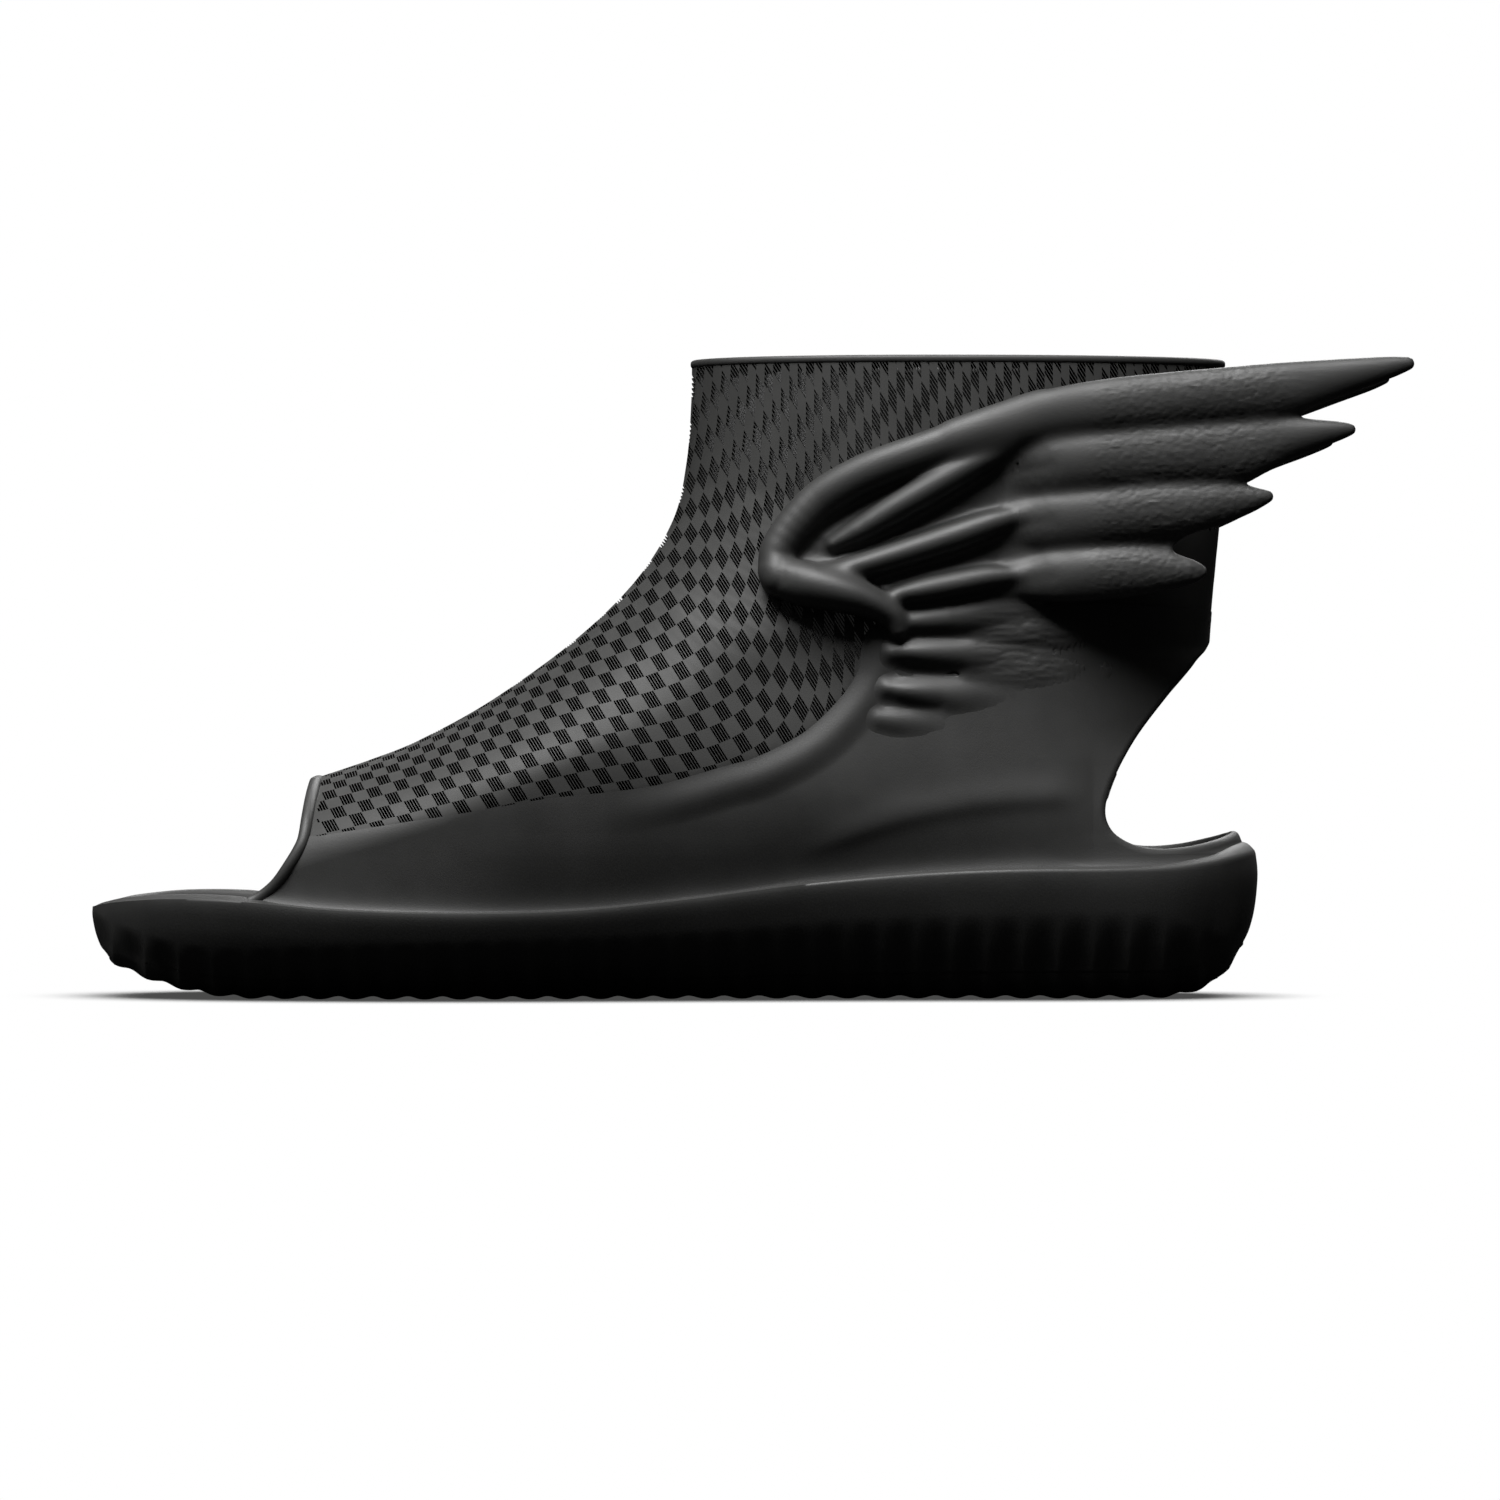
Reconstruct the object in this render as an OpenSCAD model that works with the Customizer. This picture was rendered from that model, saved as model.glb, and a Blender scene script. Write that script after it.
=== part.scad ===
// Open-toe, open-heel ankle slide with moulded wings. Left foot.
// X runs from toe to heel, -Y is the lateral side, Z is up. Z = 0 is the ground.

/* [Overall size] */
// Length of the sole from toe to heel
sole_length = 296; // [270:1:320]
// Width of the sole across the ball of the foot
sole_width = 104; // [96:1:114]
// Height of the ankle opening above the ground
boot_height = 161; // [150:1:175]

/* [Sole] */
// Thickness of the rubber tread layer
outsole_t = 5; // [4:0.5:7]
// Distance from one tread groove to the next
lug_pitch = 8.8; // [7:0.1:11]
// Depth of a tread groove
groove_depth = 1.3; // [0.8:0.1:2]
// Width of the shelf round the top of the midsole that carries the shell
shelf_w = 6.2; // [5.8:0.1:7]
// Thickness of the footbed
footbed_t = 7; // [5:0.5:8]

/* [Upper] */
// Half width of the ankle collar
collar_half = 37.5; // [34:0.5:42]
// Wall of the lattice collar
lattice_t = 1.8; // [1.4:0.1:2]
// Wall of the side shell
shell_t = 2; // [1.6:0.1:2.3]
// Radius of the rolled rim at the ankle opening
rim_r = 1.2; // [0.9:0.1:1.4]

/* [Wings] */
// Thickness of the covert plate over the shell
covert_t = 4; // [3:0.5:5]
// Clearance between the primaries and the collar
wing_gap = 1.3; // [1.2:0.1:2]
// Thickness of a primary feather for each millimetre of its height
feather_flat = 0.6; // [0.5:0.05:0.7]

/* [Toe hinge] */
// Distance of the flex line behind the toe
toe_flex = 40; // [34:1:42]

/* [Hidden] */
kx = sole_length / 296;
ky = sole_width / 104;
kz = boot_height / 161;
lateral = -1;
medial = 1;
fit_gap = 0.1;      // clearance between solids that are bonded face to face
skin_gap = 0.8;    // clearance between curved skins that lie on each other
flex_gap = 0.1;     // half the clearance at the toe flex line
collar_top = boot_height - 2 * rim_r - fit_gap;   // the rolled rim lies on this edge
flex_x = -148 * kx + toe_flex;
wing_hinge_x = 85.5 * kx;
wing_lift = shell_t + skin_gap + 0.6;   // underside of a wing above the lattice surface
big = 400;

// ---------- curves ----------
function clamp01(t) = max(0, min(1, t));
function mix(a, b, t) = a + (b - a) * t;
function smooth(a, b, x) = let (t = clamp01((x - a) / (b - a))) t * t * (3 - 2 * t);
function round_off(q, p = 2) = pow(1 - pow(1 - clamp01(q), p), 1 / p);
function spline_at(a, b, c, d, t) =
    0.5 * (2 * b + (c - a) * t + (2 * a - 5 * b + 4 * c - d) * t * t
           + (3 * b - a - 3 * c + d) * t * t * t);
// Smooth open curve through points, with n steps to each span
function open_spline(p, n) = let (m = len(p) - 1)
    [for (i = [0:m - 1], k = [0:n - 1])
        spline_at(p[max(i - 1, 0)], p[i], p[i + 1], p[min(i + 2, m)], k / n), p[m]];
function closed_spline(p, n) = let (m = len(p))
    [for (i = [0:m - 1], k = [0:n - 1])
        spline_at(p[(i + m - 1) % m], p[i], p[(i + 1) % m], p[(i + 2) % m], k / n)];

// ---------- sole ----------
// Station along the sole, lateral edge, medial edge
stations = [[-147.7, 5, 5], [-146.3, -8, 17], [-141.5, -20, 28], [-131, -33, 38.5],
            [-112, -44.5, 46.5], [-85, -51.5, 50], [-55, -54, 50], [-22, -51.5, 46],
            [15, -47, 41.5], [55, -44.5, 40], [92, -44, 41.5], [120, -39.5, 38.5],
            [137, -29.5, 29.5], [145.5, -16, 16], [148.3, 0, 0]];
last = len(stations) - 1;
function edge(side) = [for (s = stations) [s[0] * kx, (side < 0 ? s[1] : s[2]) * ky]];
outline = closed_spline(concat(edge(lateral), [for (i = [last - 1:-1:1]) edge(medial)[i]]), 4);
count = len(outline);
function outward(i) = let (d = outline[(i + 1) % count] - outline[(i + count - 1) % count])
    [d[1], -d[0]] / norm(d);
function inset_point(i, d) = outline[i] - outward(i) * d;
// Height of the ridge round the top of the sole, and of the curved underside
ridge_line = [[-148, 22], [-126, 24.7], [-108, 24.5], [-86, 22.6], [-63, 21.7], [-41, 21.7],
              [-19, 22.7], [8, 25.6], [33, 29], [59, 31.5], [84, 32.7], [110, 32.9],
              [123, 33.6], [135, 35.2], [148.3, 38]];
function ridge_z(x) = lookup(x / kx, ridge_line) * kz;
function under_z(x) = let (u = x / kx)
    u < -104 ? 8.6 * pow((-u - 104) / 38, 2) : u > 122 ? 5 * pow((u - 122) / 18, 2) : 0;
footbed_line = [[-148, 22.5], [-105, 20.2], [-50, 19.4], [0, 20.5], [50, 23.5], [100, 25.6],
                [148, 27]];
function footbed_z(x) = lookup(x / kx, footbed_line) * kz;
function floor_z(x) = footbed_z(x) - footbed_t;
function outsole_top(x) = under_z(x) + outsole_t;
// How far the side wall tucks in at a share of the wall's height
wall_tuck = [[0, 10], [0.07, 6.6], [0.15, 4.4], [0.3, 2], [0.5, 0.6], [0.7, 0], [0.88, 0.2],
             [1, 1.3]];
function side_share(x, z) = (z - under_z(x)) / (ridge_z(x) - under_z(x));
function tuck(x, z) = lookup(side_share(x, z), wall_tuck);

// A closed solid from rings of points that run the same way round.
// Each end is closed with strips from one side of the outline to the other.
module ring_loft(rings) {
    n = len(rings[0]);
    m = len(rings);
    points = [for (r = rings, p = r) p];
    walls = [for (j = [0:m - 2], i = [0:n - 1]) let (k = (i + 1) % n)
        each [[j * n + i, (j + 1) * n + k, j * n + k],
              [j * n + i, (j + 1) * n + i, (j + 1) * n + k]]];
    polyhedron(points, concat(walls, end_strips(0, n, false), end_strips((m - 1) * n, n, true)));
}
function end_strips(base, n, flip) = [for (i = [0:n / 2 - 1])
    let (a = base + i, b = base + i + 1, c = base + (n - i - 1) % n, d = base + (n - i) % n)
    each [for (t = [[a, b, c], [a, c, d]])
        if (t[0] != t[1] && t[1] != t[2] && t[0] != t[2]) flip ? [t[2], t[1], t[0]] : t]];
function outer_ring(share_lo, share_hi, f) = [for (i = [0:count - 1])
    let (x = outline[i][0], z = mix(share_lo[i], share_hi[i], f), p = inset_point(i, tuck(x, z)))
    [p[0], p[1], z]];
under_zs = [for (p = outline) under_z(p[0])];
outsole_tops = [for (p = outline) outsole_top(p[0])];
ridge_zs = [for (p = outline) ridge_z(p[0])];
function inner_ring(inset, zs) = [for (i = [0:count - 1]) let (p = inset_point(i, inset))
    [p[0], p[1], zs[i]]];

module outsole_body() ring_loft([for (f = [0, 0.35, 1]) outer_ring(under_zs, outsole_tops, f)]);
module tread_grooves() {
    cut_r = 2.2;
    first = ceil(-138 * kx / lug_pitch);
    for (i = [first:-first]) let (x = (i + 0.5) * lug_pitch)
        translate([x, 0, under_z(x) + groove_depth - cut_r]) rotate([90, 0, 0])
            cylinder(r = cut_r, h = 140, center = true, $fn = 12);
}
module midsole_body() {
    lows = [for (z = outsole_tops) z + fit_gap / 2];
    rings = [for (f = [0, 0.3, 0.6, 0.85, 1]) outer_ring(lows, ridge_zs, f)];
    floors = [for (i = [0:count - 1]) floor_z(inset_point(i, shelf_w)[0])];
    ring_loft(concat(rings, [inner_ring(shelf_w, ridge_zs), inner_ring(shelf_w, floors)]));
}
module footbed_body() {
    edge_in = shelf_w + 0.2;
    xs = [for (i = [0:count - 1]) inset_point(i, edge_in)[0]];
    rise = 1.5;   // the footbed's edge stands a little higher than its middle
    ring_loft([inner_ring(edge_in, [for (x = xs) floor_z(x) + fit_gap]),
               inner_ring(edge_in, [for (x = xs) footbed_z(x)]),
               inner_ring(edge_in + 9, [for (x = xs) footbed_z(x) - rise])]);
}
// resize() with no size leaves the shape alone and keeps the cut body as one mesh
module ahead_of_flex() resize([0, 0, 0]) intersection() {
    children();
    translate([flex_x - flex_gap - big, -big / 2, -big / 2]) cube(big);
}
module behind_flex() resize([0, 0, 0]) intersection() {
    children();
    translate([flex_x + flex_gap, -big / 2, -big / 2]) cube(big);
}
module treaded() difference() { outsole_body(); tread_grooves(); }
module outsole() color("#151515") behind_flex() treaded();
module outsole_toe() color("#151515") ahead_of_flex() treaded();
module midsole() color("#1c1c1c") behind_flex() midsole_body();
module midsole_toe() color("#1c1c1c") ahead_of_flex() midsole_body();
module footbed() color("#202020") behind_flex() footbed_body();
module footbed_toe() color("#202020") ahead_of_flex() footbed_body();

// ---------- surface of the upper ----------
// The instep and shin seen from the side, from the toe opening to the ankle opening
instep = concat([for (p = [[-91.5, 54.8], [-76.4, 59.9], [-64, 64.9], [-45.9, 74.9], [-24.9, 90.1],
                           [-9.4, 105.3], [0, 120.6], [3.4, 135], [4.6, 150]])
                 [p[0] * kx, p[1] * kz]], [[4.8 * kx, collar_top]]);
instep_fine = concat([[-150 * kx, 30 * kz], [-120 * kx, 45 * kz]], open_spline(instep, 3),
                     [[4.8 * kx, 200 * kz]]);
rear_line = [[20, 143.5], [41, 143], [60, 141], [75, 138], [88, 135.8], [100, 136.8],
             [118.5, 138.6], [161, 139.8], [200, 139.8]];
function rear_x(z) = lookup(z / kz, rear_line) * kx;
function to_segment(p, a, b) = let (t = clamp01((p - a) * (b - a) / ((b - a) * (b - a))))
    [norm(p - mix(a, b, t)), mix(a, b, t)[1]];
function nearer(a, b) = a[0] < b[0] ? a : b;
function nearest(p, i = 0) = let (s = to_segment(p, instep_fine[i], instep_fine[i + 1]))
    i == len(instep_fine) - 2 ? s : nearer(s, nearest(p, i + 1));
// Half width of the foot part at x, from the sole's outline, less a margin
foot_margin = 4.9;
half_tables = [for (side = [lateral, medial])
    [for (i = [0:count / 2]) let (k = side < 0 ? i : (count - i) % count, p = inset_point(k, foot_margin))
        [p[0], abs(p[1])]]];
function foot_half(side, x) = lookup(x, half_tables[side < 0 ? 0 : 1]);
// Half width of the upper at a point of the side view
function half_width(side, x, z) = let (
    rear = rear_x(z), near = nearest([x, z]),
    foot = foot_half(side, min(x + 143.4 * kx - rear, 143.4 * kx)),
    leg = collar_half * round_off((rear - x) / (67.5 * kx)),
    crown = max(32, min(66, near[1] - 22 * kz)))
    mix(foot, leg, smooth(30 * kz, 92 * kz, z)) * round_off(near[0] / crown);

// A closed sheet between an outer and an inner grid. The grid is a list of rows; a wrapped
// grid closes on itself along its rows.
module sheet(outer, inner, wrap) {
    m = len(outer);
    n = len(outer[0]);
    points = concat([for (r = outer, p = r) p], [for (r = inner, p = r) p]);
    back = m * n;
    spans = wrap ? n - 1 : n - 2;
    function at(j, i) = j * n + i % n;
    skins = [for (j = [0:m - 2], i = [0:spans])
        let (a = at(j, i), b = at(j, i + 1), c = at(j + 1, i + 1), d = at(j + 1, i))
        each [[a, c, b], [a, d, c], [back + a, back + b, back + c], [back + a, back + c, back + d]]];
    ends = [for (i = [0:spans]) let (a = at(0, i), b = at(0, i + 1), c = at(m - 1, i), d = at(m - 1, i + 1))
        each [[a, b, back + b], [a, back + b, back + a], [c, back + d, d], [c, back + c, back + d]]];
    sides = wrap ? [] : [for (j = [0:m - 2])
        let (a = at(j, 0), b = at(j + 1, 0), c = at(j, n - 1), d = at(j + 1, n - 1))
        each [[a, back + b, b], [a, back + a, back + b], [c, d, back + d], [c, back + d, back + c]]];
    polyhedron(points, concat(skins, ends, sides));
}
// Outward normals of a grid of points, then the grid moved along them
function unit(v) = v / max(norm(v), 1e-9);
function grid_normal(g, j, i, wrap) = let (m = len(g), n = len(g[0]),
    left = wrap ? (i + n - 1) % n : max(i - 1, 0), right = wrap ? (i + 1) % n : min(i + 1, n - 1),
    low = max(j - 1, 0), high = min(j + 1, m - 1))
    unit(cross(g[high][i] - g[low][i], g[j][right] - g[j][left]));
function moved(g, d, wrap) = [for (j = [0:len(g) - 1]) [for (i = [0:len(g[0]) - 1])
    g[j][i] + grid_normal(g, j, i, wrap) * d]];

// ---------- lattice collar ----------
// Lower edge of the collar in the side view, from the heel to the toe opening
hem = [for (p = [[135.9, 88], [118, 92], [92, 93], [66, 88], [48, 77], [33, 62], [12, 54],
                 [-15, 47.5], [-42, 44], [-70, 39.5], [-88, 36.5], [-93.2, 44], [-91.5, 54.8]])
       [p[0] * kx, p[1] * kz]];
hem_fine = open_spline(hem, 3);
function along(curve, u) = let (s = clamp01(u) * (len(curve) - 1), i = min(floor(s), len(curve) - 2))
    mix(curve[i], curve[i + 1], s - i);
collar_rows = 10;
collar_cols = 36;
function shin(v) = along(open_spline(instep, 4), v);
function collar_flat(u, v) = let (
    top = [mix(rear_x(collar_top), 4.8 * kx, u), collar_top],
    bottom = along(hem_fine, u),
    rear_z = mix(88 * kz, collar_top, v),
    back = [rear_x(rear_z), rear_z], front = shin(v))
    mix(bottom, top, v) + mix(back, front, u)
    - mix(mix(along(hem_fine, 0), along(hem_fine, 1), u),
          mix([rear_x(collar_top), collar_top], [4.8 * kx, collar_top], u), v);
function collar_point(side, u, v) = let (p = collar_flat(u, v), y = half_width(side, p[0], p[1]))
    [p[0], side * (u <= 0 || u >= 1 ? 0 : y), p[1]];
function eased(t) = (1 - cos(180 * t)) / 2;
collar_grid = [for (j = [0:collar_rows]) let (v = j / collar_rows)
    concat([for (i = [0:collar_cols]) collar_point(lateral, eased(i / collar_cols), v)],
           [for (i = [collar_cols - 1:-1:1]) collar_point(medial, eased(i / collar_cols), v)])];
module lattice_collar() color("#2c2c2c") sheet(collar_grid, moved(collar_grid, -lattice_t, true), true);

// A rolled rim along a line of points: rings of the given radii about each point
module rolled(line, across, up, r, wrap) {
    sides = 8;
    rings = [for (i = [0:len(line) - 1])
        [for (k = [0:sides - 1]) line[i] + across[i] * r * cos(45 * k) + up[i] * r * sin(45 * k)]];
    n = len(line);
    points = [for (ring = rings, p = ring) p];
    function at(i, k) = (i % n) * sides + k % sides;
    walls = [for (i = [0:wrap ? n - 1 : n - 2], k = [0:sides - 1])
        each [[at(i, k), at(i + 1, k), at(i + 1, k + 1)], [at(i, k), at(i + 1, k + 1), at(i, k + 1)]]];
    caps = wrap ? [] : [[for (k = [0:sides - 1]) k], [for (k = [sides - 1:-1:0]) (n - 1) * sides + k]];
    polyhedron(points, concat(walls, caps));
}
top_row = collar_grid[collar_rows];
module collar_rim() color("#262626") {
    sunk = lattice_t / 2;
    normals = [for (i = [0:len(top_row) - 1]) grid_normal(collar_grid, collar_rows, i, true)];
    line = [for (i = [0:len(top_row) - 1]) top_row[i] - normals[i] * sunk + [0, 0, rim_r + fit_gap]];
    rolled(line, normals, [for (p = line) [0, 0, 1]], rim_r, true);
}
// The toe opening runs from one end of the shell over the instep to the other
toe_edge = open_spline([for (p = [[-102, 29], [-97, 33], [-94.2, 38.5], [-93.6, 45], [-92.6, 51], [-91.5, 54.8]])
                        [p[0] * kx, p[1] * kz]], 2);
toe_rim_out = 3.8;   // the middle of the rim stands this far ahead of the edge that it covers
toe_rim_r = 1.4;
module toe_opening_rim() color("#262626") {
    half = [for (side = [lateral, medial]) [for (p = toe_edge)
        [p[0] - toe_rim_out, side * half_width(side, p[0], p[1]), p[1]]]];
    m = len(toe_edge) - 1;
    line = concat(half[0], [for (i = [m - 1:-1:0]) half[1][i]]);
    out = [for (i = [0:len(line) - 1]) let (d = line[min(i + 1, len(line) - 1)] - line[max(i - 1, 0)])
        unit([0, d[2], -d[1]])];
    rolled(line, [for (p = line) [-1, 0, 0]], out, toe_rim_r, false);
}

// ---------- side shell ----------
// Where each rib line of the shell starts on the sole, and where it ends on the shell's edge
ribs = [[-103, -93.5, 38], [-86, -70.8, 43.2], [-66, -41.6, 47.9], [-45, -15, 51.4], [-25, 13.3, 57.9],
        [-8, 32.8, 66.1], [8, 45.8, 79], [22, 54, 93], [45, 74, 101], [70, 102, 100], [88, 127, 94],
        [96, 131.5, 84.8], [102, 119.8, 69.7], [106, 110.8, 56], [109, 108.8, 46], [113, 112.5, 40.5],
        [120, 121, 37.6], [130, 131, 38.2], [137, 137.5, 39.6], [141.3, 141, 40.8], [143.4, 142.6, 41.5]];
rib_lines = open_spline(ribs, 2);
shell_rows = 9;
function shell_point(side, rib, v) = let (
    foot = [rib[0] * kx, ridge_z(rib[0] * kx + 4) + skin_gap], top = [rib[1] * kx, rib[2] * kz],
    bend = [mix(foot[0], top[0], 0.12), mix(foot[1], top[1], 0.5)],
    p = foot * pow(1 - v, 2) + bend * 2 * v * (1 - v) + top * v * v,
    y = half_width(side, p[0], p[1]))
    [p[0], side * y, p[1]];
rib_count = len(rib_lines) - 1;
module side_shell() color("#1f1f1f") {
    grid = [for (j = [0:shell_rows]) let (v = j / shell_rows)
        concat([for (i = [0:rib_count]) shell_point(medial, rib_lines[i], v)],
               [for (i = [rib_count - 1:-1:0]) shell_point(lateral, rib_lines[i], v)])];
    sheet(moved(grid, skin_gap + shell_t, false), moved(grid, skin_gap, false), false);
}

// ---------- wings ----------
// Front edge of the covert plate at each height
covert_front = [[66, 57], [75, 55.5], [85, 56.5], [90, 56.5], [92.5, 50], [96.6, 35.5], [99, 28.5], [104.6, 23.3],
                [110.6, 21.3], [118, 24.2], [122.5, 27.4], [126.3, 31.8], [130.8, 38.2], [135, 45.7],
                [139, 54], [142, 61.9], [145.8, 72.9], [147.6, 79]];
// Ridges of the covert plate: start x, z, end x, z, height
covert_ridges = [[41, 115.6, 83, 138.5, 2.5], [44, 109.6, 82, 122, 2.5], [57, 102.8, 82, 108.3, 2.2],
                 [59, 94.9, 81, 96.1, 1.8], [59, 87.1, 80, 85.9, 1.8], [57, 78.7, 76, 76.2, 1.6]];
function ridge_lift(x, z) = max([for (r = covert_ridges)
    let (d = to_segment([x, z], [r[0] * kx, r[1] * kz], [r[2] * kx, r[3] * kz])[0]) r[4] * exp(-d * d / 7)]);
// Distance of the covert plate's underside from the mid plane
function wing_base(side, x, z) = half_width(side, x, z) + wing_lift;
// Behind this line the primaries leave the collar and run straight back
leave_x = 92 * kx;
covert_cols = 14;
module wing_coverts(side) {
    rear = wing_hinge_x - 1.6;
    edge_t = 0.9;
    flats = [for (c = covert_front) [for (i = [0:covert_cols])
        [mix(c[1] * kx, rear, i / covert_cols), c[0] * kz, min(i / covert_cols, 1) ]]];
    heights = [for (c = covert_front) c[0]];
    top = len(covert_front) - 1;
    function plate(j, i) = let (edge = min(i, 2) / 2, rim = min(min(j, top - j), 2) / 2)
        edge_t + (covert_t - edge_t) * min(edge, rim);
    under = [for (j = [0:top]) [for (i = [0:covert_cols]) let (f = flats[j][i])
        [f[0], side * wing_base(side, f[0], f[1]), f[1]]]];
    over = [for (j = [0:top]) [for (i = [0:covert_cols]) let (f = flats[j][i], t = plate(j, i))
        [f[0], side * (wing_base(side, f[0], f[1]) + t + (t > edge_t ? ridge_lift(f[0], f[1]) : 0)), f[1]]]];
    if (side > 0) sheet([for (r = over) [for (i = [covert_cols:-1:0]) r[i]]],
                        [for (r = under) [for (i = [covert_cols:-1:0]) r[i]]], false);
    else sheet(over, under, false);
}
// Each primary feather: x, z and radius along its quill
feathers = [[[92, 146.5, 3.4], [120.8, 148.8, 5], [148, 153, 4.2], [184, 159.2, 0.9]],
            [[92, 135, 3.6], [120, 137.3, 4.6], [148, 139.8, 3.6], [169.6, 142, 1]],
            [[92, 120.5, 3.6], [118, 122.6, 4.2], [134, 123.8, 3.4], [149.2, 125.6, 1]],
            [[92, 105.8, 3.4], [112, 107.6, 3.4], [132.6, 106.8, 1]]];
web_r = 1.6;
quill_y = wing_gap + 5 * feather_flat;   // middle of a quill beyond the collar
function quill_base(side, f) = half_width(side, leave_x, f[1] * kz);
module quill_ball(side, f) translate([f[0] * kx, side * (quill_base(side, f) + quill_y), f[1] * kz])
    scale([1, feather_flat, 1]) sphere(r = f[2], $fn = 20);
module wing_primaries(side) {
    for (f = feathers, i = [0:len(f) - 2]) hull() {
        quill_ball(side, f[i]);
        quill_ball(side, f[i + 1]);
    }
    // web that joins the feathers
    for (i = [0:len(feathers) - 2]) hull() for (f = [feathers[i], feathers[i + 1]], k = [0, 1])
        quill_ball(side, [k == 0 ? 89.5 : f[k][0], f[k][1], web_r]);
}
module wing_coverts_lateral() color("#232323") wing_coverts(lateral);
module wing_coverts_medial() color("#232323") wing_coverts(medial);
module wing_primaries_lateral() color("#262626") wing_primaries(lateral);
module wing_primaries_medial() color("#262626") wing_primaries(medial);

outsole();
outsole_toe();
midsole();
midsole_toe();
footbed();
footbed_toe();
side_shell();
lattice_collar();
collar_rim();
toe_opening_rim();
wing_coverts_lateral();
wing_coverts_medial();
wing_primaries_lateral();
wing_primaries_medial();
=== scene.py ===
import math

import bpy
import numpy as np
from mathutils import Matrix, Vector


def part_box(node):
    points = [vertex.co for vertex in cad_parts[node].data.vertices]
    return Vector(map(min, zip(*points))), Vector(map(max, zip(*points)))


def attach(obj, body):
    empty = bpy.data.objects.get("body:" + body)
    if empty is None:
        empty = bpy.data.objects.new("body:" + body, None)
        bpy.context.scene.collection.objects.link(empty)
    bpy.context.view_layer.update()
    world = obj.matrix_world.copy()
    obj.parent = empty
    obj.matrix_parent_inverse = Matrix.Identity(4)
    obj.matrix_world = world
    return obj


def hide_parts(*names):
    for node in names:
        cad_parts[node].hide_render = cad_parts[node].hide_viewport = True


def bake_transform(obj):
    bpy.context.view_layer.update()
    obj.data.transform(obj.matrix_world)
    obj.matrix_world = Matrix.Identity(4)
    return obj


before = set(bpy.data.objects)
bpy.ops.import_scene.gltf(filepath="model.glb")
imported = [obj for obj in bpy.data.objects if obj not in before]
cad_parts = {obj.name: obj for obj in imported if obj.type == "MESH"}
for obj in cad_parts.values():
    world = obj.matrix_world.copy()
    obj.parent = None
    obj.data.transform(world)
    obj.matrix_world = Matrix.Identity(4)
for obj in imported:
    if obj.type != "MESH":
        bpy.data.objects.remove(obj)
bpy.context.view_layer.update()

# All shape functions work in millimetres in the CAD frame: +X toe to heel, -Y lateral, +Z up.
MM = 0.001
LATERAL, MEDIAL = -1, 1
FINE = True


def cad(node):
    """Lowest and highest corners of a CAD node, in millimetres."""
    low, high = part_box(node)
    return np.array(low) / MM, np.array(high) / MM


# Scale of this build against the nominal shoe that the curves below describe
NOMINAL_SOLE, NOMINAL_WIDTH, NOMINAL_HEIGHT = 295.95, 104.42, 161.0
toe_low, toe_high = cad("midsole_toe")
heel_low, heel_high = cad("midsole")
KX = (heel_high[0] - toe_low[0]) / NOMINAL_SOLE
KY = (heel_high[1] - heel_low[1]) / NOMINAL_WIDTH
KZ = cad("collar_rim")[1][2] / NOMINAL_HEIGHT


# ---------------------------------------------------------------- curves
def lerp(a, b, t):
    return a + (b - a) * t


def smooth(a, b, x):
    t = np.clip((x - a) / (b - a), 0.0, 1.0)
    return t * t * (3 - 2 * t)


def bulge(q):
    """Rises steeply from 0 at q = 0 and levels off at 1, like a quarter of an ellipse."""
    return np.sqrt(np.maximum(1 - (1 - np.clip(q, 0, 1)) ** 2, 0))


def spline(points, steps, closed=False):
    """Catmull-Rom curve through the points."""
    p = np.asarray(points, float)
    n = len(p)
    spans = n if closed else n - 1
    idx = np.arange(spans)
    if closed:
        a, b, c, d = p[idx - 1], p[idx], p[(idx + 1) % n], p[(idx + 2) % n]
    else:
        a, b, c, d = p[np.maximum(idx - 1, 0)], p[idx], p[idx + 1], p[np.minimum(idx + 2, n - 1)]
    t = (np.arange(steps) / steps)[None, :, None]
    a, b, c, d = (q[:, None, :] for q in (a, b, c, d))
    out = 0.5 * (2 * b + (c - a) * t + (2 * a - 5 * b + 4 * c - d) * t**2 + (3 * b - a - 3 * c + d) * t**3)
    out = out.reshape(-1, p.shape[1])
    return out if closed else np.vstack([out, p[-1]])


def even(points, spacing):
    """The same polyline with points at even distances."""
    p = np.asarray(points, float)
    run = np.concatenate([[0], np.cumsum(np.linalg.norm(np.diff(p, axis=0), axis=1))])
    s = np.linspace(0, run[-1], max(3, int(round(run[-1] / spacing)) + 1))
    return np.stack([np.interp(s, run, p[:, k]) for k in range(p.shape[1])], axis=1)


def to_polyline(x, z, line):
    """Distance from each point to a polyline in the side view, and the height of the nearest point."""
    x, z = np.asarray(x, float), np.asarray(z, float)
    best = np.full(x.shape, 1e9)
    height = np.zeros(x.shape)
    for (ax, az), (bx, bz) in zip(line[:-1], line[1:]):
        dx, dz = bx - ax, bz - az
        t = np.clip(((x - ax) * dx + (z - az) * dz) / max(dx * dx + dz * dz, 1e-12), 0, 1)
        d = (x - ax - t * dx) ** 2 + (z - az - t * dz) ** 2
        near = d < best
        best = np.where(near, d, best)
        height = np.where(near, az + t * dz, height)
    return np.sqrt(best), height


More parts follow.
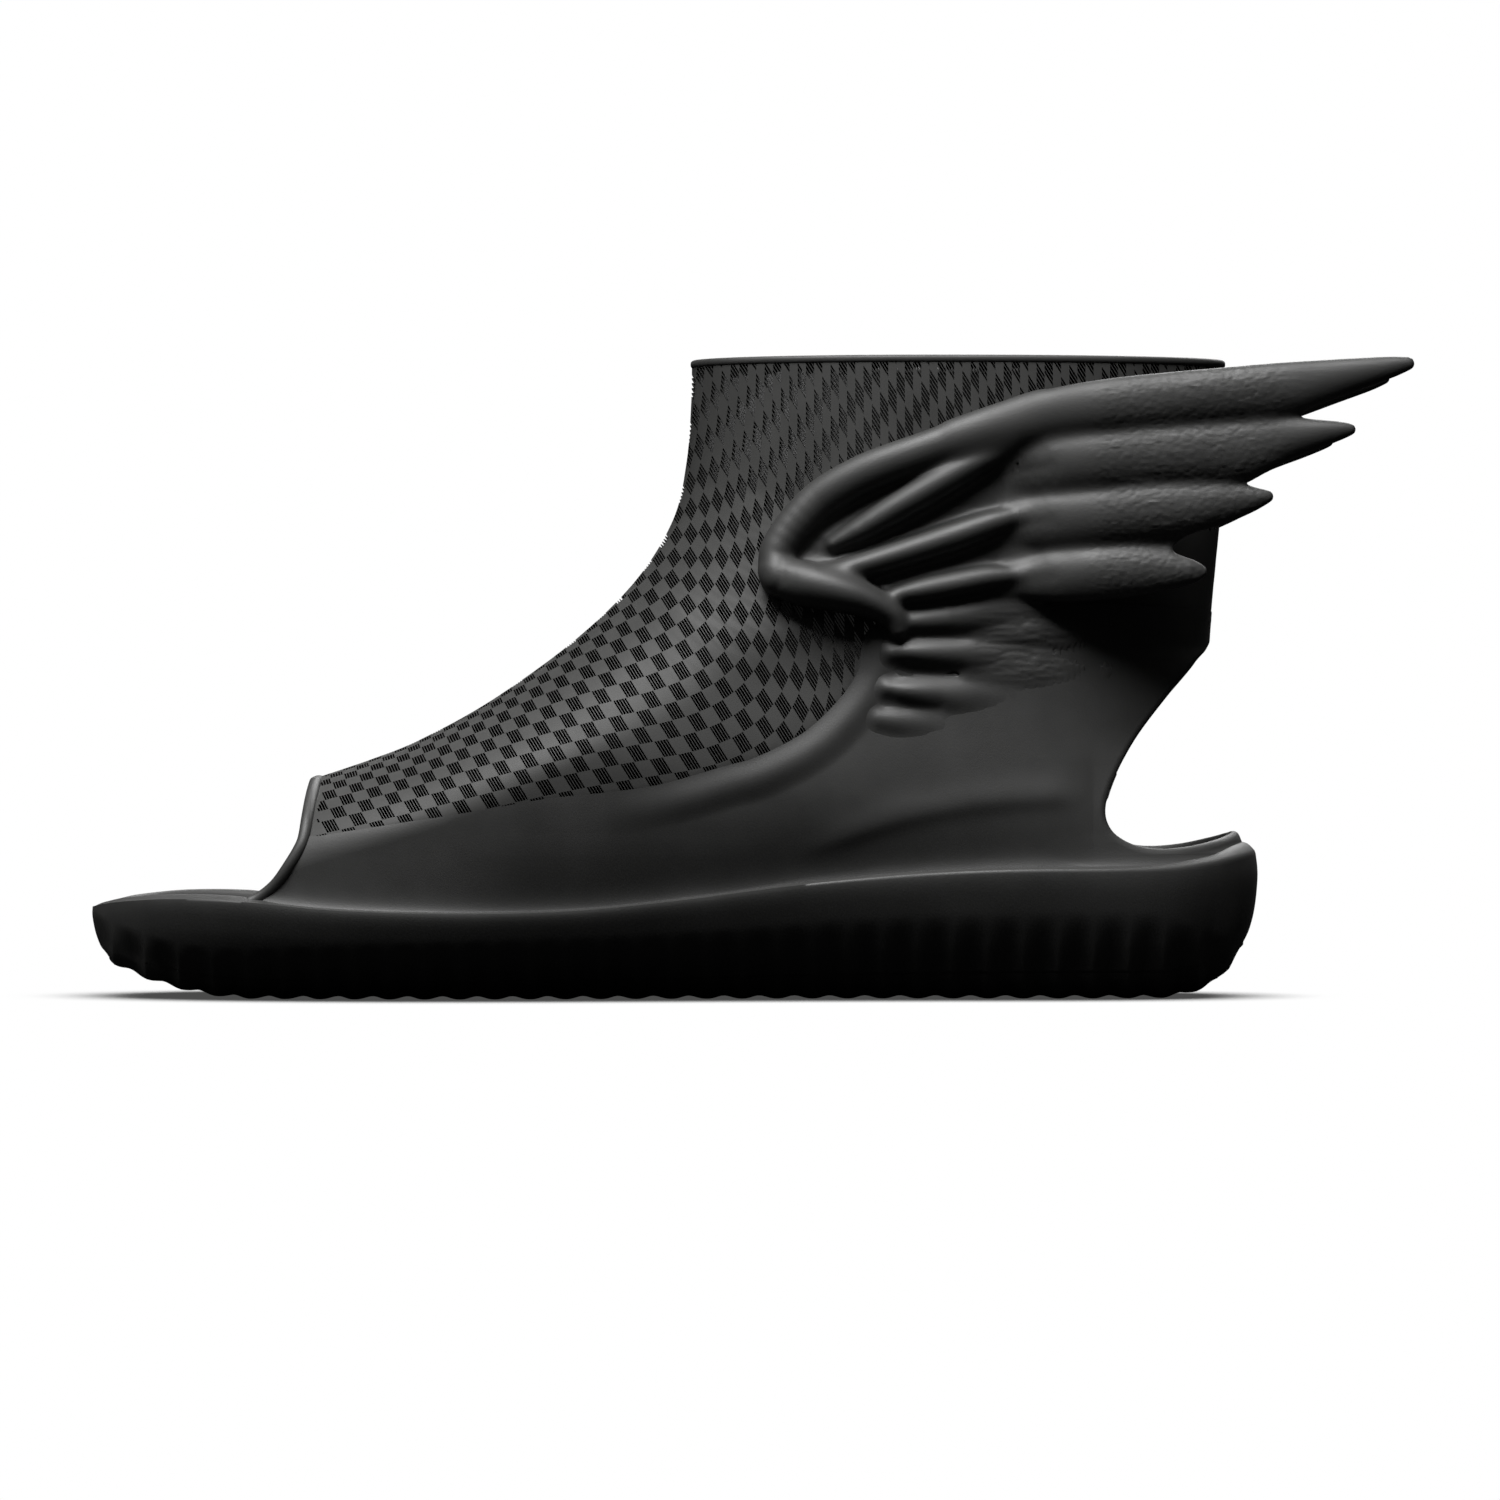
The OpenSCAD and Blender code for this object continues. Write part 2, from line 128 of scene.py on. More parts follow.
# ---------------------------------------------------------------- the sole's curves
STATIONS = [
    (-147.7, 5, 5), (-146.3, -8, 17), (-141.5, -20, 28), (-131, -33, 38.5), (-112, -44.5, 46.5),
    (-85, -51.5, 50), (-55, -54, 50), (-22, -51.5, 46), (15, -47, 41.5), (55, -44.5, 40),
    (92, -44, 41.5), (120, -39.5, 38.5), (137, -29.5, 29.5), (145.5, -16, 16), (148.3, 0, 0)]
lateral_edge = [(x * KX, a * KY) for x, a, b in STATIONS]
medial_edge = [(x * KX, b * KY) for x, a, b in STATIONS]
OUTLINE = spline(lateral_edge + medial_edge[-2:0:-1], 40 if FINE else 24, closed=True)
COUNT = len(OUTLINE)
HALF = COUNT // 2
along = np.roll(OUTLINE, -1, axis=0) - np.roll(OUTLINE, 1, axis=0)
OUTWARD = np.stack([along[:, 1], -along[:, 0]], axis=1) / np.linalg.norm(along, axis=1)[:, None]

# Side-view heights of the sole's top rim and of the footbed
ridge_curve = spline([(-148, 22.4), (-140, 24.0), (-126, 25.0), (-108, 24.6), (-86, 22.6), (-63, 21.7),
                      (-41, 21.7), (-19, 22.7), (8, 25.6), (33, 29), (59, 31.5), (84, 32.7), (110, 32.9),
                      (123, 33.4), (135, 35), (148.3, 37.6)], 8)
footbed_curve = spline([(-148, 22.5), (-105, 20.2), (-50, 19.4), (0, 20.5), (50, 23.5), (100, 25.6),
                        (148, 27)], 8)
PITCH = 8.8                       # from one tread lug to the next
LUG_DEPTH = 0.75
FLUTE_DEPTH = 2.2
TREAD_T = 5.0


def ridge_z(x):
    return np.interp(x / KX, ridge_curve[:, 0], ridge_curve[:, 1]) * KZ


def footbed_z(x):
    return np.interp(x / KX, footbed_curve[:, 0], footbed_curve[:, 1]) * KZ


def under_z(x):
    """Spring of the sole: its underside rises at the toe and at the heel."""
    u = x / KX
    toe = 8.6 * (np.maximum(-u - 104, 0) / 38) ** 2
    heel = 5 * (np.maximum(u - 122, 0) / 18) ** 2
    return toe + heel


# ---------------------------------------------------------------- the upper's curves
# Side view. The collar's front line is the instep, which the crest carries on past both ends.
TOP_Z = 160.0
COLLAR_FRONT, COLLAR_REAR = 4.8, 139.8
instep = spline([(-91.5, 54.8), (-76.4, 59.9), (-64, 64.9), (-45.9, 74.9), (-24.9, 90.1), (-9.4, 105.3),
                 (0, 120.6), (3.4, 135), (4.6, 150), (COLLAR_FRONT, 161)], 10)
crest = np.vstack([[(-150, 30), (-120, 45)], instep, [(COLLAR_FRONT, 200)]])
REAR = np.array([(20, 143.6), (36, 143.5), (39, 143.1), (41.5, 142.6), (60, 141), (75, 138), (88, 135.8),
                 (100, 136.8), (118.5, 138.6), (161, COLLAR_REAR), (200, COLLAR_REAR)])
ANKLE_HALF = 37.5
ANKLE_REACH = 67.5                # from the rear line to the widest place of the leg
HEEL_X = 143.4                    # rear end of the upper on the sole
FOOT_MARGIN = 4.9                 # from the sole's outline in to the upper
foot_tables = {}
for side in (LATERAL, MEDIAL):
    k = np.arange(HALF + 1) if side == LATERAL else (COUNT - np.arange(HALF + 1)) % COUNT
    p = OUTLINE[k] - OUTWARD[k] * FOOT_MARGIN
    keep = np.concatenate([[True], np.diff(p[:, 0]) > 0])
    foot_tables[side] = (p[keep, 0], np.abs(p[keep, 1]))


def rear_x(z):
    return np.interp(z, REAR[:, 0], REAR[:, 1])


# Side view of the line where the smooth shell meets the lattice
LATTICE_EDGE = [(-89.4, 40.3), (-70.5, 43.5), (-55.8, 45.8), (-41.4, 48.3), (-29.7, 50.3), (-15, 51.8),
                (-2.6, 53.7), (13.3, 58.2), (21.3, 60.5), (32.7, 66.4), (40.9, 73.9), (45.7, 80.4),
                (46.9, 84.6), (47.5, 91)]
soft_edge = np.vstack([spline(LATTICE_EDGE, 6), spline([(47.5, 91), (50, 93), (64, 98), (84, 99.5),
                                                        (106, 99), (127, 98), (137, 97)], 4)])
BELLY = np.array([(-110, 0.1), (-93, 0.15), (-60, 0.4), (-35, 0.85), (-15, 1.0), (25, 1.0), (60, 0.6),
                  (90, 0.3), (118, 0.2), (140, 0.0)])


def belly(x, z):
    """The wall leans out from the sole to its widest line below the lattice, then eases back in."""
    low = ridge_z(x)
    wide = np.interp(x, [-89, -41, 0, 40, 60, 140], [42, 49, 53, 53, 50, 48])
    rise = np.clip((z - low) / (wide - low), 0, 1)
    lean = lerp(-3.4, 2.2, np.sin(rise * np.pi / 2))
    back = 1 - smooth(0, 34, z - wide)
    return np.interp(x, BELLY[:, 0], BELLY[:, 1]) * lean * back


def foot_and_leg(side, x, z):
    """Half widths of a foot-shaped and a leg-shaped column."""
    rear = rear_x(z)
    xs, ys = foot_tables[side]
    foot = np.interp(np.minimum(x + HEEL_X - rear, HEEL_X), xs, ys)
    return foot, ANKLE_HALF * bulge((rear - x) / ANKLE_REACH)


def half_width(side, x, z):
    """Distance of the upper's skin from the mid plane: a foot below, a leg above, rounded at the crest."""
    near, near_z = to_polyline(x, z, crest)
    foot, leg = foot_and_leg(side, x, z)
    crown = np.interp(near_z, [55, 66, 84, 105, 130], [21, 23, 27, 36, 60])
    leg = leg * (1 - 0.105 * np.clip((z - 92) / 70, 0, 1))
    share = smooth(np.interp(x, [60, 105], [56, 30]), np.interp(x, [60, 105], [104, 68]), z)
    return (lerp(foot, leg, share) + belly(x, z)) * bulge(near / crown)


def drawn_width(side, x, z):
    """The softer form that the lattice was drawn on: it sets how the cells foreshorten."""
    near, near_z = to_polyline(x, z, crest)
    foot, leg = foot_and_leg(side, x, z)
    return lerp(foot, leg, smooth(30, 92, z)) * bulge(near / (32 + 34 * smooth(44, 100, near_z)))


# ---------------------------------------------------------------- mesh making
def compact(verts, quads):
    """Joins equal vertices, and drops faces that have closed up. A triangle repeats its last corner."""
    key = np.round(verts / 0.004).astype(np.int64)
    _, first, inverse = np.unique(key, axis=0, return_index=True, return_inverse=True)
    inverse = inverse.reshape(-1)
    q = inverse[quads]
    tri = np.array([(0, 1, 2, 2), (0, 1, 3, 3), (1, 2, 3, 3), (0, 2, 3, 3)])
    same = [q[:, 0] == q[:, 1], q[:, 1] == q[:, 2], q[:, 2] == q[:, 3], q[:, 3] == q[:, 0]]
    crossed = (q[:, 0] == q[:, 2]) | (q[:, 1] == q[:, 3])
    total = sum(s.astype(int) for s in same)
    out = [q[(total == 0) & ~crossed]]
    keep = {0: (1, 2, 3), 1: (0, 2, 3), 2: (0, 1, 3), 3: (0, 1, 2)}
    for k in range(4):
        m = same[k] & (total == 1) & ~crossed
        c = keep[k]
        out.append(np.stack([q[m, c[0]], q[m, c[1]], q[m, c[2]], q[m, c[2]]], axis=1))
    q = np.vstack(out)
    used = np.unique(q)
    remap = np.full(len(first), -1)
    remap[used] = np.arange(len(used))
    return verts[first[used]], remap[q]


def corner_normals(verts, quads):
    d = np.cross(verts[quads[:, 2]] - verts[quads[:, 0]], verts[quads[:, 3]] - verts[quads[:, 1]])
    tri = quads[:, 2] == quads[:, 3]
    t = quads[tri]
    d[tri] = np.cross(verts[t[:, 1]] - verts[t[:, 0]], verts[t[:, 2]] - verts[t[:, 0]])
    n = np.zeros_like(verts)
    for k in range(4):
        np.add.at(n, quads[:, k], d)
    return n / np.maximum(np.linalg.norm(n, axis=1), 1e-12)[:, None]


def turned(quads):
    """The same faces, facing the other way."""
    tri = quads[:, 2] == quads[:, 3]
    back = quads[:, ::-1].copy()
    back[tri] = quads[tri][:, [2, 1, 0, 0]]
    return back


def facing_out(verts, quads):
    """The faces, turned if need be so that their normals point away from the mid plane."""
    normals = corner_normals(verts, quads)
    return quads if (normals[:, 1] * verts[:, 1]).sum() >= 0 else turned(quads)


def thicken(verts, quads, inner, opened=None, sunk=None, floor=None):
    """A closed solid between a skin and its inner copy.

    Faces marked in opened become through holes. Faces marked in sunk become blind ones, with floor as
    the skin's copy at their depth.
    """
    n = len(verts)
    opened = np.zeros(len(quads), bool) if opened is None else opened
    sunk = np.zeros(len(quads), bool) if sunk is None else sunk
    floor = inner if floor is None else floor
    level = np.where(sunk, 2, 0)                      # 0 skin, 2 floor, 1 inner copy
    faces, level = quads[~opened], level[~opened]
    back = turned(faces) + n
    a = np.concatenate([faces[:, k] for k in range(4)])
    b = np.concatenate([faces[:, (k + 1) % 4] for k in range(4)])
    own = np.tile(level, 4)
    real = a != b
    a, b, own = a[real], b[real], own[real]
    code = a * n + b
    order = np.argsort(code)
    at = np.searchsorted(code[order], b * n + a)
    at = np.minimum(at, len(code) - 1)
    found = code[order][at] == b * n + a
    other = np.where(found, own[order][at], 1)
    rank = np.array([2, 0, 1])                        # how far out each level lies
    wall = rank[own] > rank[other]
    a, b, own, other = a[wall], b[wall], own[wall], other[wall]
    walls = np.stack([b + own * n, a + own * n, a + other * n, b + other * n], axis=1)
    faces = faces + (level * n)[:, None]
    return compact(np.vstack([verts, inner, floor]), np.vstack([faces, back, walls]))


def grid_faces(rows, cols, wrap=False):
    j, i = np.meshgrid(np.arange(rows - 1), np.arange(cols if wrap else cols - 1), indexing="ij")
    k = (i + 1) % cols
    faces = np.stack([j * cols + i, j * cols + k, (j + 1) * cols + k, (j + 1) * cols + i], axis=-1)
    return faces.reshape(-1, 4)


def add_piece(name, verts, quads, material, sharp=45):
    """Makes a smooth-shaded object, in metres, with creases sharper than the given angle."""
    verts, quads = compact(np.asarray(verts, float), np.asarray(quads))
    a, b, c, d = (verts[quads[:, k]] for k in range(4))
    volume = (a * (np.cross(b, c) + np.cross(c, d))).sum()
    if volume < 0:
        quads = turned(quads)
    tri = quads[:, 2] == quads[:, 3]
    sizes = np.where(tri, 3, 4)
    starts = np.concatenate([[0], np.cumsum(sizes)[:-1]])
    mask = np.ones(quads.shape, bool)
    mask[tri, 3] = False
    me = bpy.data.meshes.new(name)
    me.vertices.add(len(verts))
    me.vertices.foreach_set("co", (verts * MM).astype(np.float32).ravel())
    loops = quads[mask].astype(np.int32)
    me.loops.add(len(loops))
    me.loops.foreach_set("vertex_index", loops)
    me.polygons.add(len(quads))
    me.polygons.foreach_set("loop_start", starts.astype(np.int32))
    me.polygons.foreach_set("use_smooth", np.ones(len(quads), bool))
    me.update(calc_edges=True)
    me.validate()
    me.set_sharp_from_angle(angle=math.radians(sharp))
    me.materials.append(material)
    ob = bpy.data.objects.new(name, me)
    bpy.context.scene.collection.objects.link(ob)
    return ob


# ---------------------------------------------------------------- materials
class Graph:
    """Short names for building a node material."""

    def __init__(self, name):
        self.material = bpy.data.materials.new(name)
        self.material.use_nodes = True
        self.tree = self.material.node_tree
        self.tree.nodes.clear()
        self.out = self.node("ShaderNodeOutputMaterial")
        self.place = self.node("ShaderNodeTexCoord").outputs["Object"]

    def node(self, kind, **values):
        n = self.tree.nodes.new(kind)
        for key, value in values.items():
            if hasattr(n, key):
                setattr(n, key, value)
            else:
                self.put(n.inputs[key.replace("_", " ")], value)
        return n

    def put(self, socket, value):
        if isinstance(value, bpy.types.NodeSocket):
            self.tree.links.new(value, socket)
        else:
            socket.default_value = value

    def stretched(self, scale):
        n = self.node("ShaderNodeMapping")
        self.put(n.inputs["Vector"], self.place)
        n.inputs["Scale"].default_value = scale
        return n.outputs["Vector"]

    def noise(self, scale, detail=3.0, rough=0.5, vector=None):
        n = self.node("ShaderNodeTexNoise", Scale=scale, Detail=detail, Roughness=rough)
        self.put(n.inputs["Vector"], vector or self.place)
        return n.outputs["Fac"]

    def cells(self, scale, vector=None):
        n = self.node("ShaderNodeTexVoronoi", feature="F1", Scale=scale)
        self.put(n.inputs["Vector"], vector or self.place)
        return n.outputs["Distance"]

    def ramp(self, value, low, high, dark=0.0, light=1.0):
        n = self.node("ShaderNodeMapRange")
        n.interpolation_type = "SMOOTHSTEP"
        keys = ("Value", "From Min", "From Max", "To Min", "To Max")
        for key, v in zip(keys, (value, low, high, dark, light)):
            self.put(n.inputs[key], v)
        return n.outputs["Result"]

    def math(self, op, a, b):
        n = self.node("ShaderNodeMath", operation=op)
        self.put(n.inputs[0], a)
        self.put(n.inputs[1], b)
        return n.outputs[0]

    def mix(self, fac, a, b):
        n = self.node("ShaderNodeMix", data_type="RGBA")
        self.put(n.inputs["Factor"], fac)
        self.put(n.inputs[6], a)
        self.put(n.inputs[7], b)
        return n.outputs[2]

    def bump(self, height, distance, strength=1.0, normal=None):
        n = self.node("ShaderNodeBump")
        self.put(n.inputs["Height"], height)
        n.inputs["Distance"].default_value = distance * MM
        n.inputs["Strength"].default_value = strength
        if normal:
            self.put(n.inputs["Normal"], normal)
        return n.outputs["Normal"]

    def axis(self, k):
        n = self.node("ShaderNodeSeparateXYZ")
        self.put(n.inputs[0], self.place)
        return n.outputs[k]

    def surface(self, color, roughness, normal, specular):
        b = self.node("ShaderNodeBsdfPrincipled")
        self.put(b.inputs["Base Color"], color)
        self.put(b.inputs["Roughness"], roughness)
        self.put(b.inputs["Normal"], normal)
        b.inputs["Specular IOR Level"].default_value = specular
        self.tree.links.new(b.outputs[0], self.out.inputs[0])
        return self.material


def grey(v):
    return (v, v, v * 0.97, 1.0)


def elastomer(name, tone, grain_scale, grain_depth, flow=(1, 1, 1), barbs=0.0, pores=0.0, wear=0.0,
              specular=0.4):
    """Matte black elastomer: mottled colour, fine moulded grain, and what the piece needs on top.

    Depths are in millimetres. barbs are fine chips on the free feathers, pores are small pits, and wear
    scuffs the lowest millimetre and a half.
    """
    g = Graph(name)
    mottle = g.noise(55, 4, 0.6)
    cloud = g.noise(14, 2, 0.5)
    shade = g.math("MULTIPLY", g.ramp(mottle, 0.25, 0.75, 0.86, 1.14), g.ramp(cloud, 0.3, 0.7, 0.92, 1.08))
    color = g.mix(g.math("MULTIPLY", shade, 0.5), grey(tone * 0.55), grey(tone * 1.5))
    grain = g.noise(grain_scale, 5, 0.65, g.stretched(flow))
    normal = g.bump(grain, grain_depth)
    rough = g.ramp(mottle, 0.2, 0.8, 0.5, 0.62)
    if pores:
        pit = g.ramp(g.cells(900), 0.0, 0.35, 0.0, 1.0)
        normal = g.bump(pit, pores, 0.6, normal)
    if barbs:
        chips = g.cells(420, g.stretched((0.35, 1, 1.15)))
        mask = g.math("MULTIPLY", g.ramp(g.axis(0), 0.104, 0.122), g.ramp(g.axis(0), 0.172, 0.150))
        normal = g.bump(g.math("MULTIPLY", chips, mask), barbs, 0.9, normal)
    if wear:
        low = g.ramp(g.axis(2), 0.0016, 0.0002)
        scuff = g.math("MULTIPLY", low, g.ramp(g.noise(240, 5, 0.7, g.stretched((1, 0.25, 1))), 0.48, 0.62))
        color = g.mix(g.math("MULTIPLY", scuff, wear), color, grey(tone * 3.2))
        rough = g.math("ADD", rough, g.math("MULTIPLY", scuff, 0.15))
    return g.surface(color, rough, normal, specular)


TONE = 0.02                       # base colour of the whole shoe
rubber_tread = elastomer("tread_rubber", TONE * 0.9, 1500, 0.05, wear=0.5)
foam_wall = elastomer("sole_foam", TONE, 1900, 0.045)
foam_bed = elastomer("footbed_foam", TONE * 1.1, 1500, 0.06, pores=0.06)
skin = elastomer("upper_skin", TONE, 2300, 0.035)
# painted light: the lattice is the same black elastomer as the shell, with its tone raised by half to stand
# in for the light falling on the collar wall
lattice_skin_painted_lighter = elastomer("lattice_skin_painted_lighter", TONE * 1.5, 2600, 0.02, specular=0.2)
# painted shade: a near-black copy of the elastomer for the slit walls, the blind slits' floors and the inner
# faces, standing in for the shade there
lattice_painted_shade = elastomer("lattice_painted_shade", TONE * 0.2, 2600, 0.02, specular=0.08)
feather_skin = elastomer("feather_skin", TONE, 2000, 0.03, flow=(0.5, 1, 1), barbs=0.07)


# ---------------------------------------------------------------- sole
def strips(n, across):
    """Index pairs and shares for lines from the lateral to the medial edge of the outline."""
    i = np.arange(n // 2 + 1)
    return i, (n - i) % n, np.linspace(0, 1, across + 1)


def floor_grid(ring, height, across=36):
    """A surface across a closed ring. height(x, y) gives its z inside, and the ring gives the edge."""
    i, j, t = strips(len(ring), across)
    a, b = ring[i][:, None, :], ring[j][:, None, :]
    p = a + (b - a) * t[None, :, None]
    inside = height(p[..., 0], p[..., 1])
    edge = 4 * t * (1 - t)
    hold = np.clip(edge * 14, 0, 1)[None, :]
    flat = p[..., 2]
    p[..., 2] = lerp(flat, inside, smooth(0, 1, hold))
    return p


def lug_wave(x):
    return 0.5 - 0.5 * np.cos(2 * np.pi * x / (PITCH * KX))


def tread_z(x, y=None):
    return under_z(x) + LUG_DEPTH * lug_wave(x) ** 1.4


# How far the side wall lies inside the outline, by the share of its height: along the sides, at the ends
HULL_TUCK = spline([(0, 16), (0.1, 13.4), (0.2, 11), (0.3, 8.8), (0.4, 6.8), (0.5, 5.1), (0.6, 3.6),
                    (0.7, 2.4), (0.85, 1.0), (0.95, 0.4), (1, 0.45)], 8)
WALL_TUCK = spline([(0, 9.5), (0.04, 7.2), (0.1, 5.2), (0.2, 3.2), (0.35, 1.5), (0.5, 0.6), (0.7, 0.05),
                    (0.85, 0.0), (1, 0.45)], 8)


def rim_drop(x):
    """How far the rim's outer corner is rounded down, most at the heel."""
    u = x / KX
    return 0.5 * smooth(10, 60, u) + 1.1 * smooth(112, 138, u)


def wall_point(share):
    """Ring of points round the side wall at a share of its height."""
    toe = 1 - smooth(-136, -104, OUTLINE[:, 0])
    ends = np.interp(share, WALL_TUCK[:, 0], WALL_TUCK[:, 1]) * lerp(1.0, 0.38, toe)
    sides = np.interp(share, HULL_TUCK[:, 0], HULL_TUCK[:, 1])
    hull = np.interp(OUTLINE[:, 0], [-136, -110, -70, -20, 30, 90, 130], [0.45, 0.75, 0.9, 1, 1, 0.8, 0.45])
    inset = lerp(ends, sides, hull * smooth(0.4, 0.9, np.abs(OUTWARD[:, 1])))
    xy = OUTLINE - OUTWARD * inset[:, None]
    x0 = xy[:, 0]
    low, high = under_z(x0), ridge_z(OUTLINE[:, 0]) - rim_drop(OUTLINE[:, 0])
    z = lerp(low, high, share)
    phase = (x0 / (PITCH * KX) + 0.5) % 1.0
    off = np.minimum(phase, 1 - phase) * 2            # 0 in the middle of a groove, 1 on a lug
    top = np.interp(x0, [-146, -60, 0, 60, 120, 134, 142], [11.5, 15, 17, 21.5, 22, 16, 8])
    depth = (1 - off**1.4) * (1 - smooth(0.3, 1.0, (z - low) / top))
    side_on = np.abs(OUTWARD[:, 1])
    deep = FLUTE_DEPTH * lerp(0.4, 1.0, smooth(0.1, 0.9, side_on))
    xy = xy - OUTWARD * (deep * depth)[:, None]
    z = z + LUG_DEPTH * lug_wave(x0) ** 1.4 * (1 - smooth(0, 0.16, share))
    return np.column_stack([xy, z])


def rim_rings():
    """Rings over the rounded top rim and down to the footbed's recess."""
    x0 = OUTLINE[:, 0]
    toe = 1 - smooth(-112, -96, x0)
    rise = lerp(0.35, 1.25, toe) + 1.0 * smooth(136, 147, x0)
    profile = [(0.75, 0.12), (1.25, 0.3), (1.9, 0.55), (2.7, 0.8), (3.5, 0.95), (4.3, 1.0), (5.0, 0.75),
               (5.5, 0.1), (5.8, -0.9), (6.0, -2.2)]
    out = []
    for inset, share in profile:
        xy = OUTLINE - OUTWARD * inset
        lift = np.where(share > 0, share * rise, share) - rim_drop(x0) * np.clip(1 - inset / 3.4, 0, 1) ** 2
        out.append(np.column_stack([xy, ridge_z(x0) + lift]))
    return out


def ring_body(rings, bottom, top):
    """Closed solid from rings, with gridded surfaces over both ends."""
    verts = [np.vstack(rings)]
    quads = [grid_faces(len(rings), COUNT, wrap=True)]
    base = len(rings) * COUNT
    for grid, flip in ((bottom, True), (top, False)):
        rows, cols = grid.shape[:2]
        f = grid_faces(rows, cols) + base
        quads.append(f if flip else f[:, ::-1])
        verts.append(grid.reshape(-1, 3))
        base += rows * cols
    return np.vstack(verts), np.vstack(quads)


TREAD_SHARE = 0.2                 # the tread ends at this share of the side wall's height
shares_low = np.linspace(0, TREAD_SHARE, 10)
shares_high = np.concatenate([np.linspace(TREAD_SHARE, 0.92, 34), [0.955, 0.98, 1.0]])
low_rings = [wall_point(s) for s in shares_low]
bottom = floor_grid(low_rings[0], tread_z, 44)
seam = floor_grid(low_rings[-1], lambda x, y: under_z(x) + TREAD_T, 6)
v, f = ring_body(low_rings, bottom, seam)
tread = add_piece("tread_sole", v, f, rubber_tread, sharp=60)
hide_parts("outsole", "outsole_toe")

high_rings = [wall_point(s) for s in shares_high] + rim_rings()
recess = floor_grid(high_rings[-1], lambda x, y: footbed_z(x) - 3.5, 8)
v, f = ring_body(high_rings, seam, recess)
midsole = add_piece("midsole_wall", v, f, foam_wall, sharp=60)
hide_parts("midsole", "midsole_toe")


def bed_z(x, y):
    """Anatomical top of the footbed: cupped heel, arch bump, soft dip under the ball."""
    edge_l = np.interp(x, foot_tables[LATERAL][0], foot_tables[LATERAL][1])
    edge_m = np.interp(x, foot_tables[MEDIAL][0], foot_tables[MEDIAL][1])
    side = np.where(y < 0, -y / np.maximum(edge_l, 1), y / np.maximum(edge_m, 1))
    dish = -1.9 + 2.1 * np.clip(side, 0, 1.1) ** 3
    heel = -1.2 * np.exp(-((x - 100) / 30) ** 2 - (y / 26) ** 2)
    arch = 4.2 * np.exp(-((x - 28) / 30) ** 2) * smooth(6, 36, y)
    ball = -0.9 * np.exp(-((x + 52) / 26) ** 2 - (y / 34) ** 2)
    toes = 0.9 * np.exp(-((x + 86) / 9) ** 2) * (1 - smooth(20, 42, np.abs(y)))
    return footbed_z(x) + dish + heel + arch + ball + toes


bed_rings = []
for inset, dz in ((6.4, -3.2), (5.9, -2.4), (5.9, -1.2), (6.1, -0.45), (6.8, 0.05)):
    xy = OUTLINE - OUTWARD * inset
    bed_rings.append(np.column_stack([xy, footbed_z(xy[:, 0]) + dz]))
bed_low = floor_grid(bed_rings[0], lambda x, y: footbed_z(x) - 3.2, 6)
bed_top = floor_grid(bed_rings[-1], bed_z, 60)
v, f = ring_body(bed_rings, bed_low, bed_top)
footbed = add_piece("footbed_pad", v, f, foam_bed, sharp=60)
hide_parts("footbed", "footbed_toe")


# ---------------------------------------------------------------- lattice collar
# Side view: the lattice's lower hem, hidden under the shell, and its front edge at the toe opening
HEM = [(-93.2, 36.5), (-88, 36.5), (-70, 39.5), (-42, 44), (-15, 47.5), (12, 54), (33, 62), (48, 77),
       (66, 88), (92, 93), (118, 92), (135.9, 88)]
TOE_EDGE = [(-93.4, 36.5), (-92.4, 40), (-91.9, 44), (-91.6, 49.5), (-91.3, 54.8)]
CELL = 3.37                       # pitch of the slit cells across the slits
SLIT = np.array([0.53, -0.848])   # direction of the slits in the side view
ACROSS = np.array([0.848, 0.53])
SUB_ROWS = 3
LATTICE_T = 1.8
WELD = 0.02
BLIND_DEPTH = 1.1
BLIND_TOP_Z = 157.2               # slits above this are blind
CELL_MARGIN = 0.05
SLIT_WIDTHS = [0.12, 0.148, 0.148, 0.148, 0.12]
bar = (1 - 2 * CELL_MARGIN - sum(SLIT_WIDTHS)) / (len(SLIT_WIDTHS) - 1)
edges = [0.0, CELL_MARGIN]
for w in SLIT_WIDTHS:
    edges += [edges[-1] + w, edges[-1] + w + bar]
EDGES = np.array(edges[:-1])      # column lines in a cell; odd columns are slits
# Cells behind the wing and at the toe edge stay plain
PLAIN_BELOW = ([49, 51, 78, 106, 127, 140], [0, 104, 106, 114, 117.5, 118.5])
FIRST_HOLE_X = -88.6
MID_SNAP, MID_BAND = 0.25, 0.3    # points nearer the mid plane than this are put on it, or count as on it


def slit_frame(points):
    p = np.asarray(points, float)
    return p @ ACROSS, p @ SLIT


def lattice_lines():
    """Straight lines along the slits: their place across the slits, and where each enters and leaves."""
    top = np.vstack([spline(TOE_EDGE, 6)[:-1], instep[instep[:, 1] < TOP_Z],
                     [(COLLAR_FRONT, TOP_Z), (COLLAR_REAR, TOP_Z)]])
    rear_z = np.linspace(HEM[-1][1], TOP_Z, 40)
    bottom = np.vstack([spline(HEM, 8), np.column_stack([rear_x(rear_z), rear_z])[1:]])
    at, st = slit_frame(top)
    ab, sb = slit_frame(bottom)
    low, high = max(at.min(), ab.min()) + 0.01, min(at.max(), ab.max()) - 0.01
    cells = np.arange(math.floor(low / CELL), math.ceil(high / CELL) + 1)
    a = (cells[:, None] + EDGES[None, :]).ravel() * CELL
    column = np.tile(np.arange(len(EDGES)), len(cells))
    cell = np.repeat(cells, len(EDGES))
    ok = (a > low) & (a < high)
    order = np.argsort(at)
    return a[ok], cell[ok], column[ok], np.interp(a[ok], at[order], st[order]), np.interp(a[ok], ab, sb)


# Length of a cell along its slits: over the foot, round the leg, and where the skin turns away there
FOOT_CELL, LEG_CELL, LEG_TURN_CELL = 4.9, 3.9, 8.0
TOP_CELL = 3.95                   # near the front and top edges, where the rows are lined up


